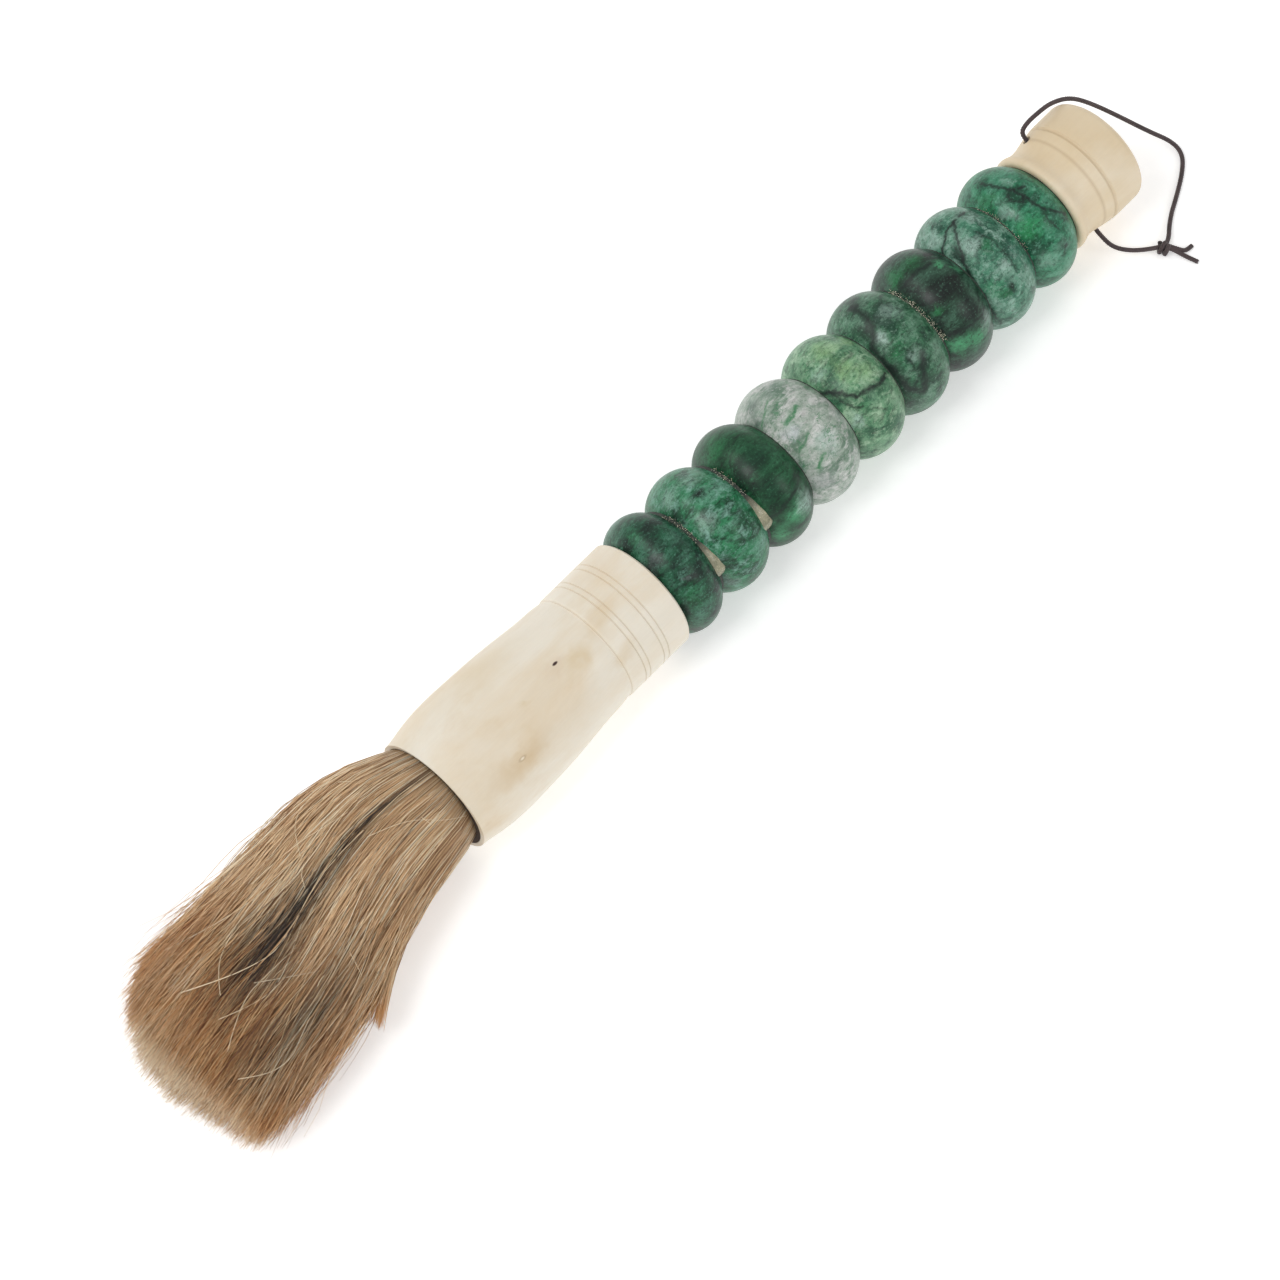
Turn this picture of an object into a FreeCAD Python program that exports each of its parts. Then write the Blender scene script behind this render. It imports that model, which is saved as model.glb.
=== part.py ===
import FreeCAD, Part
import math
import os

from FreeCAD import Vector

# A large calligraphy brush lying on a table, in millimetres.
# +X runs from the hair to the hanging end, +Z is up, and the table is at z = 0.
# The origin is on the table under the middle of the brush's length.

# ---------------------------------------------------------------- driving dimensions
# Handle of stone beads
bead_radius = 17.0
bead_face_drop = 4.0
bead_bore_clearance = 0.2
bead_widths = [13.9, 16.2, 15.1, 17.0, 16.5, 16.5, 15.9, 16.0, 15.4]
# Cement between neighbours, from the ferrule to the end cap
cement_thicknesses = [0.2, 0.9, 0.9, 0.25, 0.25, 0.25, 0.35, 0.25, 0.35, 0.2]
cement_rod_gap = 0.15

# Bone ferrule
ferrule_length = 73.2
collar_length = 21.1
collar_radius = 15.75
collar_chamfer = 1.2
waist_step = 0.3
# Bulged, slightly flattened part: share of its length from the mouth, and how far its half
# width and half height stand out from the waist
ferrule_sections = [
    (0.00, 1.00, 0.25),
    (0.09, 1.70, 0.90),
    (0.27, 2.60, 1.50),
    (0.46, 2.35, 1.45),
    (0.60, 2.00, 1.25),
    (0.74, 1.30, 0.80),
    (0.87, 0.65, 0.40),
    (1.00, 0.00, 0.00),
]
ring_line_offsets = [20.6, 15.8, 14.2, 9.3, 7.6]
ring_line_width = 0.4
ring_line_depth = 0.2
# The first ring line is cut where the collar's chamfer has taken this much off its radius
first_line_drop = 0.12
rim_bevel = 0.5
ferrule_wall = 3.55
throat_step = 1.6
mouth_step = 3.0
mouth_lip_length = 8.0

# Wooden parts inside
rod_radius = 4.2
rod_depth_in_ferrule_plug = 14.0
rod_end_gap = 1.25
ferrule_plug_length = 22.0
glue_film = 0.05

# Bone end cap
cap_length = 23.7
cap_base_radius = 14.7
cap_base_rounding = 1.4
cap_neck_radius = 14.35
cap_neck_offset = 2.8
cap_body_radius = 15.3
cap_body_offset = 15.5
cap_edge_rounding = 2.2
# How much sooner than a straight cone the curved flank reaches the body's radius
cap_flare_lead = 1.25
cap_bore_radius = 9.5
cap_groove_offsets = [9.1, 12.7]
cap_groove_width = 1.3
cap_groove_depth = 0.45
end_disc_seat = 0.9
end_disc_thickness = 3.2

# Hanging cord and its cross hole
cord_diameter = 1.2
cord_hole_clearance = 0.65
cord_hole_tilt = 33.0
knot_length = 4.4
knot_radius = 1.75
tail_root_share = 0.35
knot_edge_share = 0.7

# Hair
hair_exposed = 96.0
# The hair leans towards -Y, so the brush's axis stands this far from the middle of the width
hair_lean = 5.1
hair_root_depth = 18.0
hair_lip_gap = 0.1
resin_thickness = 4.0
binding_offset = 13.5
binding_diameter = 1.2
binding_turn_pitch = 1.3
binding_turns = 3
# Exposed hair: share of its length from the mouth, half width and half height beyond the
# ferrule's mouth bore, sideways shift, drop of its middle below the brush's axis
cover_sections = [
    (0.00, -0.2, -0.8, 0.0, 0.0),
    (0.10, 2.4, 0.0, 0.9, 0.4),
    (0.25, 5.8, 0.0, 0.6, 1.4),
    (0.45, 9.4, -0.8, -2.2, 3.0),
    (0.65, 10.8, -1.7, -3.8, 4.0),
    (0.82, 12.2, -3.2, -5.2, 5.2),
    (0.92, 10.0, -5.6, -6.4, 7.0),
    (0.98, 4.3, -9.0, -7.0, 8.6),
    (1.00, -2.7, -12.2, -6.6, 9.0),
]
# The stiff dark core ends inside the cover; its half width and half height are whole sizes
core_sections = [
    (0.00, 8.0, 7.6, 0.0, 0.0),
    (0.25, 9.0, 6.5, 0.3, 1.2),
    (0.50, 8.0, 5.0, -1.6, 2.8),
    (0.72, 4.0, 2.6, -3.6, 4.0),
]

cutter_overshoot = 1.0

# ---------------------------------------------------------------- derived places
bead_face_radius = bead_radius - bead_face_drop
bead_bore_radius = rod_radius + bead_bore_clearance
waist_radius = collar_radius - waist_step
ferrule_bore_radius = collar_radius - ferrule_wall
throat_radius = ferrule_bore_radius + throat_step
mouth_bore_radius = ferrule_bore_radius + mouth_step
end_disc_radius = cap_bore_radius + end_disc_seat
cord_hole_radius = cord_diameter / 2 + cord_hole_clearance
# The rod stops short of the cross hole
rod_depth_in_cap = cap_groove_offsets[0] - cord_hole_radius - rod_end_gap
# The brush rests on the fattest of its beads and its ferrule
axis_height = max(bead_radius, waist_radius + max(section[2] for section in ferrule_sections))
axis_y = hair_lean
handle_length = sum(bead_widths) + sum(cement_thicknesses)
total_length = hair_exposed + ferrule_length + handle_length + cap_length
hair_tip_x = -total_length / 2
mouth_x = hair_tip_x + hair_exposed
ferrule_top_x = mouth_x + ferrule_length
cap_base_x = ferrule_top_x + handle_length
cap_end_x = cap_base_x + cap_length
collar_x = ferrule_top_x - collar_length
cord_hole_x = cap_base_x + cap_groove_offsets[0]

X_AXIS = Vector(1, 0, 0)
HOLE_DIRECTION = Vector(0, math.cos(math.radians(cord_hole_tilt)), math.sin(math.radians(cord_hole_tilt)))
HOLE_CENTRE = Vector(cord_hole_x, axis_y, axis_height)
AXIS_POINT = Vector(0, axis_y, axis_height)

# Free route of the hanging cord: out of the upper mouth of the cross hole, over the end
# of the cap, down to the table, through the knot and back up into the lower mouth. Each
# point gives its distance beyond the cross hole along X, and its y and z.
cord_route_from_hole = [
    (0, 5.6, 17.3),
    (0, 19.3, 26.2),
    (2.35, 19.5, 27.8),
    (5.95, 19.3, 28.2),
    (11.15, 19.0, 27.6),
    (17.15, 17.6, 24.4),
    (21.95, 14.4, 19.4),
    (27.15, 8.7, 13.0),
    (32.15, 2.5, 6.6),
    (36.55, -2.5, 1.7),
    (36.05, -6.6, 0.7),
    (32.05, -9.9, 0.7),
    (26.45, -13.0, 0.7),
    (18.95, -16.6, 0.8),
    (12.75, -21.4, 1.9),
    (9.55, -19.9, 2.1),
    (4.15, -16.6, 3.7),
    (0.55, -12.9, 5.7),
    (0, -9.1, 7.8),
    (0, 4.6, 16.7),
]
knot_from_hole = (11.25, -21.1, 1.9)
# The two tails leave the knot side by side and part
tail_routes_from_hole = [
    [(12.55, -23.1, 1.7), (13.55, -25.3, 1.1), (14.55, -27.5, 0.8), (15.15, -29.9, 0.7)],
    [(13.65, -22.2, 1.7), (15.25, -24.2, 1.2), (16.85, -25.4, 0.8), (19.15, -25.9, 0.7)],
]


def beyond_hole(points):
    """Points of a route that is given from the cross hole, in the brush's own frame."""
    return [(cord_hole_x + x, y, z) for x, y, z in points]


cord_route = beyond_hole(cord_route_from_hole)
tail_routes = [beyond_hole(points) for points in tail_routes_from_hole]
knot_centre = Vector(*beyond_hole([knot_from_hole])[0])
# The cord runs through the knot from one of these route points to the other
knot_entry = Vector(*cord_route[14])
knot_exit = Vector(*cord_route[15])


# ---------------------------------------------------------------- helpers
def save(shape, node):
    """Write one node and say how big it is."""
    shape.exportStep("parts/" + node + ".step")
    print(node, "solids", len(shape.Solids), "volume", round(shape.Volume, 1), "valid", shape.isValid())


def on_profile(x, radius):
    """A point at a radius from the brush's axis, in the upright plane through the axis."""
    return Vector(x, axis_y, axis_height + radius)


def rod_along_x(radius, start_x, end_x):
    return Part.makeCylinder(radius, end_x - start_x, Vector(start_x, axis_y, axis_height), X_AXIS)


def turned(profile):
    """Revolve a closed outline of (x, radius) points about the brush's axis."""
    points = [on_profile(x, radius) for x, radius in profile]
    face = Part.Face(Part.makePolygon(points + points[:1]))
    return face.revolve(AXIS_POINT, X_AXIS, 360)


def ring_cutter(x, surface_radius, width, depth):
    """A ring with a round-bottomed section that cuts an engraved line."""
    section_radius = (width * width / 4 + depth * depth) / (2 * depth)
    ring_radius = surface_radius - depth + section_radius
    return Part.makeTorus(ring_radius, section_radius, on_profile(x, 0), X_AXIS)


def ellipse_wire(x, half_width, half_height, y, z):
    """An upright ellipse across the brush, split at its widest points so that lofts line up."""
    if half_width >= half_height:
        ellipse = Part.Ellipse(Vector(x, y, z), half_width, half_height)
        turn = FreeCAD.Rotation(Vector(0, 1, 0), Vector(0, 0, 1), X_AXIS, "XYZ")
    else:
        ellipse = Part.Ellipse(Vector(x, y, z), half_height, half_width)
        turn = FreeCAD.Rotation(Vector(0, 0, 1), Vector(0, -1, 0), X_AXIS, "XYZ")
    edge = ellipse.toShape()
    edge.rotate(Vector(x, y, z), turn.Axis, math.degrees(turn.Angle))
    return Part.Wire(edge)


def lofted(sections, start_x, length, base_radius):
    """A smooth solid through ellipses. Each section gives its share of the length, its half
    width and half height beyond a base radius, its sideways shift and its drop."""
    wires = []
    for share, wider, higher, shift, drop in sections:
        place = (axis_y + shift, axis_height - drop)
        wires.append(ellipse_wire(start_x + share * length, base_radius + wider, base_radius + higher, *place))
    return Part.makeLoft(wires, True, False)


def smooth_path(points):
    """Straight runs joined by tangent arcs, each as large as its two runs allow."""
    corners = [Vector(*point) for point in points]
    edges = []
    radii = []
    here = corners[0]
    for before, corner, after in zip(corners, corners[1:], corners[2:]):
        back = (before - corner).normalize()
        onward = (after - corner).normalize()
        turn = math.pi - back.getAngle(onward)
        reach = 0.45 * min((before - corner).Length, (after - corner).Length)
        radius = reach / math.tan(turn / 2)
        start = corner + back * reach
        end = corner + onward * reach
        bisector = (back + onward).normalize()
        middle = corner + bisector * (radius / math.cos(turn / 2) - radius)
        edges.append(Part.LineSegment(here, start).toShape())
        edges.append(Part.Arc(start, middle, end).toShape())
        radii.append(round(radius, 1))
        here = end
    edges.append(Part.LineSegment(here, corners[-1]).toShape())
    return Part.Wire(edges), radii


def tube(points, diameter, name):
    """A round cord along a route; prints its bend radii and compares its volume."""
    path, radii = smooth_path(points)
    first = Vector(*points[0])
    direction = Vector(*points[1]) - first
    section = Part.Wire(Part.Circle(first, direction, diameter / 2).toShape())
    shell = path.makePipeShell([section], True, False)
    solid = Part.Solid(shell) if shell.ShapeType != "Solid" else shell
    expected = math.pi * diameter * diameter / 4 * path.Length
    print(name, "length", round(path.Length, 1), "bend radii", radii,
          "volume ratio", round(solid.Volume / expected, 4))
    return solid


# ---------------------------------------------------------------- bone ferrule
def make_ferrule():
    """A tube of bone, bulged and slightly oval at the mouth, turned round at the collar."""
    centred = [section + (0.0, 0.0) for section in ferrule_sections]
    bulge = lofted(centred, mouth_x, collar_x - mouth_x, waist_radius)
    collar = turned([
        (collar_x, 0),
        (collar_x, waist_radius),
        (collar_x + collar_chamfer, collar_radius),
        (ferrule_top_x - rim_bevel, collar_radius),
        (ferrule_top_x, collar_radius - rim_bevel),
        (ferrule_top_x, 0),
    ])
    outside = bulge.fuse(collar)
    for offset in ring_line_offsets:
        x = ferrule_top_x - offset
        on_chamfer = offset > collar_length - collar_chamfer
        surface = collar_radius - first_line_drop if on_chamfer else collar_radius
        outside = outside.cut(ring_cutter(x, surface, ring_line_width, ring_line_depth))
    hollow = turned([
        (mouth_x - cutter_overshoot, 0),
        (mouth_x - cutter_overshoot, mouth_bore_radius),
        (mouth_x, mouth_bore_radius),
        (mouth_x + mouth_lip_length, throat_radius),
        (mouth_x + hair_root_depth + resin_thickness, ferrule_bore_radius),
        (ferrule_top_x + cutter_overshoot, ferrule_bore_radius),
        (ferrule_top_x + cutter_overshoot, 0),
    ])
    return outside.cut(hollow)


# ---------------------------------------------------------------- hair
def root_radius(depth):
    """Radius of the hair root behind the lip, at a depth from the mouth."""
    taper_length = hair_root_depth + resin_thickness - mouth_lip_length
    taper = (throat_radius - ferrule_bore_radius) / taper_length
    return throat_radius - taper * (depth - mouth_lip_length) - hair_lip_gap


def make_hair_root():
    """The bound root of the bundle, seated in the flared mouth of the ferrule."""
    end_x = mouth_x + hair_root_depth
    root = turned([
        (mouth_x, 0),
        (mouth_x, mouth_bore_radius - hair_lip_gap),
        (mouth_x + mouth_lip_length, root_radius(mouth_lip_length)),
        (end_x, root_radius(hair_root_depth)),
        (end_x, 0),
    ])
    for turn in range(binding_turns):
        root = root.cut(binding_ring(turn, binding_diameter / 2 + glue_film))
    return root


def binding_ring(turn, section_radius):
    """One turn of the thread that ties the hair root, flush with the root's surface."""
    depth = binding_offset + turn * binding_turn_pitch
    ring_radius = root_radius(depth) - binding_diameter / 2
    return Part.makeTorus(ring_radius, section_radius, on_profile(mouth_x + depth, 0), X_AXIS)


def make_root_binding():
    return Part.makeCompound([binding_ring(turn, binding_diameter / 2) for turn in range(binding_turns)])


def make_root_resin():
    """The rosin plug that seals the root and glues it in."""
    start_x = mouth_x + hair_root_depth
    return rod_along_x(ferrule_bore_radius - glue_film, start_x, start_x + resin_thickness)


def table_cut(shape):
    """Take away what would lie below the table, so that the hair rests on a flat patch."""
    low = Part.makeBox(total_length, total_length, bead_radius)
    low.translate(Vector(hair_tip_x - cutter_overshoot, axis_y - total_length / 2, -bead_radius))
    return shape.cut(low)


def mirrored_to_tip(sections):
    """Sections run from the mouth towards the tip, so their shares count down in X."""
    return [(-share,) + tuple(rest) for share, *rest in sections]


def make_hair():
    cover = lofted(mirrored_to_tip(cover_sections), mouth_x, hair_exposed, mouth_bore_radius)
    core = lofted(mirrored_to_tip(core_sections), mouth_x, hair_exposed, 0.0)
    return table_cut(cover.cut(core)), core


# ---------------------------------------------------------------- stone beads and cement
def make_bead(start_x, width):
    """A rondelle: a full round edge between two flat faces, bored for the rod."""
    end_x = start_x + width
    section = Part.Wire([
        Part.makeLine(on_profile(start_x, bead_bore_radius), on_profile(start_x, bead_face_radius)),
        Part.Arc(on_profile(start_x, bead_face_radius),
                 on_profile(start_x + width / 2, bead_radius),
                 on_profile(end_x, bead_face_radius)).toShape(),
        Part.makeLine(on_profile(end_x, bead_face_radius), on_profile(end_x, bead_bore_radius)),
        Part.makeLine(on_profile(end_x, bead_bore_radius), on_profile(start_x, bead_bore_radius)),
    ])
    return Part.Face(section).revolve(AXIS_POINT, X_AXIS, 360)


def make_cement(start_x, thickness, radius):
    """A washer of set cement in one seam."""
    disc = rod_along_x(radius, start_x, start_x + thickness)
    bore = rod_along_x(rod_radius + cement_rod_gap, start_x - cutter_overshoot, start_x + thickness + cutter_overshoot)
    return disc.cut(bore)


# ---------------------------------------------------------------- wooden core
def make_ferrule_plug():
    start_x = ferrule_top_x - ferrule_plug_length
    plug = rod_along_x(ferrule_bore_radius - glue_film, start_x, ferrule_top_x)
    rod_end_x = ferrule_top_x - rod_depth_in_ferrule_plug
    return plug.cut(rod_along_x(rod_radius + glue_film, rod_end_x, ferrule_top_x + cutter_overshoot))


def make_core_rod():
    return rod_along_x(rod_radius, ferrule_top_x - rod_depth_in_ferrule_plug, cap_base_x + rod_depth_in_cap)


# ---------------------------------------------------------------- end cap
def cord_hole():
    reach = cap_body_radius + cutter_overshoot
    return Part.makeCylinder(cord_hole_radius, 2 * reach, HOLE_CENTRE - HOLE_DIRECTION * reach, HOLE_DIRECTION)


def make_cap():
    """A turned bone sleeve, waisted at its base, with two grooves and a rounded end."""
    edge_x = cap_end_x - cap_edge_rounding
    edge_radius = cap_body_radius - cap_edge_rounding
    foot = on_profile(cap_base_x, cap_base_radius - cap_base_rounding)
    base = on_profile(cap_base_x + cap_base_rounding, cap_base_radius)
    foot_slant = cap_base_rounding * (1 - math.sqrt(0.5))
    foot_middle = on_profile(cap_base_x + foot_slant, cap_base_radius - foot_slant)
    neck = on_profile(cap_base_x + cap_neck_offset, cap_neck_radius)
    body = on_profile(cap_base_x + cap_body_offset, cap_body_radius)
    shoulder = on_profile(edge_x, cap_body_radius)
    lip = on_profile(cap_end_x, edge_radius)
    slant = cap_edge_rounding * math.sqrt(0.5)
    lip_middle = on_profile(edge_x + slant, edge_radius + slant)
    flank = Part.BSplineCurve()
    flank.interpolate([base, neck, body], Tangents=[X_AXIS, X_AXIS, X_AXIS],
                      TangentFlags=[True, False, True])
    outline = Part.Wire([
        Part.makeLine(on_profile(cap_base_x, 0), foot),
        Part.Arc(foot, foot_middle, base).toShape(),
        flank.toShape(),
        Part.makeLine(body, shoulder),
        Part.Arc(shoulder, lip_middle, lip).toShape(),
        Part.makeLine(lip, on_profile(cap_end_x, 0)),
        Part.makeLine(on_profile(cap_end_x, 0), on_profile(cap_base_x, 0)),
    ])
    sleeve = Part.Face(outline).revolve(AXIS_POINT, X_AXIS, 360)
    for offset in cap_groove_offsets:
        share = (offset - cap_neck_offset) / (cap_body_offset - cap_neck_offset)
        risen = min(1.0, cap_flare_lead * share)
        surface = cap_neck_radius + (cap_body_radius - cap_neck_radius) * risen
        cutter = ring_cutter(cap_base_x + offset, surface, cap_groove_width, cap_groove_depth)
        sleeve = sleeve.cut(cutter)
    sleeve = sleeve.cut(rod_along_x(cap_bore_radius, cap_base_x - cutter_overshoot, cap_end_x + cutter_overshoot))
    sleeve = sleeve.cut(rod_along_x(end_disc_radius, cap_end_x - end_disc_thickness, cap_end_x + cutter_overshoot))
    return sleeve.cut(cord_hole())


def make_cap_plug():
    plug = rod_along_x(cap_bore_radius - glue_film, cap_base_x, cap_end_x - end_disc_thickness)
    socket_start = cap_base_x - cutter_overshoot
    plug = plug.cut(rod_along_x(rod_radius + glue_film, socket_start, cap_base_x + rod_depth_in_cap))
    return plug.cut(cord_hole())


def make_end_disc():
    """The bone disc let into the end of the cap, flush with it."""
    return rod_along_x(end_disc_radius - glue_film, cap_end_x - end_disc_thickness, cap_end_x)


# ---------------------------------------------------------------- hanging cord
def make_knot(cord):
    """A compact overhand knot round the cord, with two short tails."""
    along = (knot_exit - knot_entry).normalize()
    knot = Part.makeCylinder(knot_radius, knot_length, knot_centre - along * (knot_length / 2), along)
    round_edges = [edge for edge in knot.Edges if edge.Curve.TypeId == "Part::GeomCircle"]
    knot = knot.makeFillet(knot_radius * knot_edge_share, round_edges)
    for number, route in enumerate(tail_routes):
        start = knot_centre + (Vector(*route[0]) - knot_centre) * tail_root_share
        tail = tube([tuple(start)] + route, cord_diameter, "tail " + str(number + 1))
        knot = knot.fuse(tail)
    return knot.cut(cord)


# ---------------------------------------------------------------- write every node
os.makedirs("parts", exist_ok=True)

save(make_ferrule(), "ferrule")
save(make_hair_root(), "hair_root")
save(make_root_binding(), "root_binding")
save(make_root_resin(), "root_resin")
cover_hair, core_hair = make_hair()
save(cover_hair, "cover_hair")
save(core_hair, "core_hair")
save(make_ferrule_plug(), "ferrule_plug")
save(make_core_rod(), "core_rod")

cement_radius = min(bead_face_radius, collar_radius - rim_bevel, cap_base_radius - cap_base_rounding)
x = ferrule_top_x
for number, width in enumerate(bead_widths):
    seam = "cement_" + str(number + 1)
    save(make_cement(x, cement_thicknesses[number], cement_radius), seam)
    x += cement_thicknesses[number]
    save(make_bead(x, width), "bead_" + str(number + 1))
    x += width
save(make_cement(x, cement_thicknesses[-1], cement_radius), "cement_10")

save(make_cap(), "end_cap")
save(make_cap_plug(), "cap_plug")
save(make_end_disc(), "cap_end_disc")

hanging_cord = tube(cord_route, cord_diameter, "hanging_cord")
save(hanging_cord, "hanging_cord")
save(make_knot(hanging_cord), "cord_knot")
print("mouth", mouth_x, "ferrule top", ferrule_top_x, "cap", cap_base_x, cap_end_x, "hole", cord_hole_x)
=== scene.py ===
# %% [markdown]
# # A large calligraphy brush with a handle of stone beads
# A bone ferrule holds a fan of tan hair, nine green stone rondelles are cemented in a row
# behind it, and a bone cap with a hanging cord closes the end. The solid parts come from the
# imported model, which is the frame: they stay where they are and only get a finish here. The
# hair, the cord, the knot and the cement that has oozed out of the seams are made in this
# file, because their shape is too fine for solid modelling.

# %% Load the frame
import math

import bmesh
import bpy
import numpy as np
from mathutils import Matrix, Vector


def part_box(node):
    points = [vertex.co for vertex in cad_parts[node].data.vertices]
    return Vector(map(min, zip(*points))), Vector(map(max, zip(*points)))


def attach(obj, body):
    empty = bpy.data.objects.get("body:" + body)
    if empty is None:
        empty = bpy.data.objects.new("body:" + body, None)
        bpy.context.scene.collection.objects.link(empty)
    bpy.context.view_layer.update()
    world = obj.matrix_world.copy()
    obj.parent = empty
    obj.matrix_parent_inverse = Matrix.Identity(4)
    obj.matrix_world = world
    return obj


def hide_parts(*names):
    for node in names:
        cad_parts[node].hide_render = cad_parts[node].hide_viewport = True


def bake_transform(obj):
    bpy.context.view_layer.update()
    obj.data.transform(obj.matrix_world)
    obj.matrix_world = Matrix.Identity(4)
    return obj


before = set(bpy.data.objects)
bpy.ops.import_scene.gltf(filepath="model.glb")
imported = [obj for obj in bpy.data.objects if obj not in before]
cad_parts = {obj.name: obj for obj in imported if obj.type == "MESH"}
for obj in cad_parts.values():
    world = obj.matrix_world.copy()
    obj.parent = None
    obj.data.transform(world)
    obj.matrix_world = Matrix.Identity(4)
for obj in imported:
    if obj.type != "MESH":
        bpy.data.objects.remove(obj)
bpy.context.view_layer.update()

# %% [markdown]
# ## Places
# Everything hangs on a few places along the brush: the mouth of the ferrule, where the hair
# comes out, the ferrule's top, and the axis that runs through the beads. They are read from
# the boxes of the solid parts, so the looks follow the model if a size changes.

# %% Read the places
ferrule_low, ferrule_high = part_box("ferrule")
bead_low, bead_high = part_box("bead_5")
hair_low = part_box("cover_hair")[0]
cap_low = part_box("end_cap")[0]
axis_y = (bead_low.y + bead_high.y) / 2
axis_z = (bead_low.z + bead_high.z) / 2
mouth_x = ferrule_low.x
hair_length = mouth_x - hair_low.x
middle = Vector((0, axis_y, axis_z))
print("mouth", round(mouth_x, 5), "axis", round(axis_y, 5), round(axis_z, 5), "hair", round(hair_length, 4))

# %% Adding an object
def put(name, data):
    """A new object with the given data, in the scene."""
    piece = bpy.data.objects.new(name, data)
    bpy.context.scene.collection.objects.link(piece)
    return piece


# %% [markdown]
# ## Camera
# The brush lies flat and is seen from high above its front, running from lower left to upper
# right. A long lens from more than a metre away keeps the beads nearly the same size.

# %% Camera
camera_data = bpy.data.cameras.new("camera")
camera_data.lens = 145.27
camera_data.sensor_width = 36
camera = put("camera", camera_data)
camera.location = (-0.40198, -0.36454, 1.14473)
look_at = Vector((-0.010215, -0.003032, 0.017))
camera.rotation_mode = "QUATERNION"
camera.rotation_quaternion = (look_at - camera.location).to_track_quat("-Z", "Y")
bpy.context.scene.camera = camera
print("camera distance", round((look_at - camera.location).length, 4))

# %% [markdown]
# ## A small tool for finishes
# A finish is a set of shader nodes. Making nodes by hand in the editor is fine for one
# material, but this brush has more than a dozen that share the same steps, so a small class
# keeps the node tree and adds nodes to it in one line each.

# %% Finish helper
class Finish:
    def __init__(self, name, roughness=0.5, coat=0.0, sheen=0.0):
        self.material = bpy.data.materials.new(name)
        self.material.use_nodes = True
        self.tree = self.material.node_tree
        self.shader = self.tree.nodes["Principled BSDF"]
        self.shader.inputs["Roughness"].default_value = roughness
        self.shader.inputs["Coat Weight"].default_value = coat
        self.shader.inputs["Coat Roughness"].default_value = 0.12
        self.shader.inputs["Sheen Weight"].default_value = sheen

    def feed(self, socket, value):
        if isinstance(value, bpy.types.NodeSocket):
            self.tree.links.new(value, socket)
        else:
            socket.default_value = value

    def place(self, stretch=(1, 1, 1), shift=(0, 0, 0)):
        coordinates = self.tree.nodes.new("ShaderNodeTexCoord")
        mapping = self.tree.nodes.new("ShaderNodeMapping")
        mapping.inputs["Scale"].default_value = stretch
        mapping.inputs["Location"].default_value = shift
        self.feed(mapping.inputs["Vector"], coordinates.outputs["Object"])
        return mapping.outputs["Vector"]

    def split(self, vector):
        """The x, y and z of a place, as three sockets."""
        node = self.tree.nodes.new("ShaderNodeSeparateXYZ")
        self.feed(node.inputs[0], vector)
        return node.outputs

    def noise(self, vector, scale, detail=4.0, roughness=0.55, distortion=0.0):
        node = self.tree.nodes.new("ShaderNodeTexNoise")
        for key, value in (("Vector", vector), ("Scale", scale), ("Detail", detail),
                           ("Roughness", roughness), ("Distortion", distortion)):
            self.feed(node.inputs[key], value)
        return node.outputs["Fac"]

    def ramp(self, value, stops):
        node = self.tree.nodes.new("ShaderNodeValToRGB")
        elements = node.color_ramp.elements
        while len(elements) < len(stops):
            elements.new(0.5)
        for element, (position, colour) in zip(elements, stops):
            element.position = position
            if not isinstance(colour, tuple):
                colour = (colour, colour, colour)
            element.color = (*colour, 1)
        self.feed(node.inputs["Fac"], value)
        return node.outputs["Color"]

    def sums(self, kind, first, second=0.0, clamp=False):
        node = self.tree.nodes.new("ShaderNodeMath")
        node.operation = kind
        node.use_clamp = clamp
        self.feed(node.inputs[0], first)
        self.feed(node.inputs[1], second)
        return node.outputs[0]

    def vectors(self, kind, first, second=(0, 0, 0)):
        node = self.tree.nodes.new("ShaderNodeVectorMath")
        node.operation = kind
        self.feed(node.inputs[0], first)
        self.feed(node.inputs[1], second)
        return node.outputs["Value" if kind in ("DOT_PRODUCT", "LENGTH", "DISTANCE") else "Vector"]

    def mix(self, share, first, second, blend="MIX"):
        node = self.tree.nodes.new("ShaderNodeMix")
        node.data_type = "RGBA"
        node.blend_type = blend
        for index, value in ((0, share), (6, first), (7, second)):
            if isinstance(value, tuple):
                value = (*value, 1)
            self.feed(node.inputs[index], value)
        return node.outputs[2]

    def near(self, place, point, reach, edge=0.5):
        """1 at a point, falling to 0 at its reach, for a stain, a pit or a painted highlight."""
        gap = self.vectors("DISTANCE", place, tuple(point))
        fall = self.tree.nodes.new("ShaderNodeMapRange")
        fall.interpolation_type = "SMOOTHSTEP"
        for key, value in (("Value", gap), ("From Min", reach * (1 - edge)), ("From Max", reach),
                           ("To Min", 1.0), ("To Max", 0.0)):
            self.feed(fall.inputs[key], value)
        return fall.outputs["Result"]

    def wobble(self, place, scale, amount):
        """The same place pushed about by noise, so that drawn shapes get natural edges."""
        node = self.tree.nodes.new("ShaderNodeTexNoise")
        self.feed(node.inputs["Vector"], place)
        node.inputs["Scale"].default_value = scale
        node.inputs["Detail"].default_value = 3.0
        centred = self.vectors("SUBTRACT", node.outputs["Color"], (0.5, 0.5, 0.5))
        push = self.vectors("MULTIPLY", centred, (amount, amount, amount))
        return self.vectors("ADD", place, push)

    def bump(self, height, strength, distance):
        node = self.tree.nodes.new("ShaderNodeBump")
        self.feed(node.inputs["Height"], height)
        node.inputs["Strength"].default_value = strength
        node.inputs["Distance"].default_value = distance
        self.feed(self.shader.inputs["Normal"], node.outputs["Normal"])

    def colour(self, value):
        self.feed(self.shader.inputs["Base Color"], value)

    def roughness(self, value):
        self.feed(self.shader.inputs["Roughness"], value)


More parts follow.
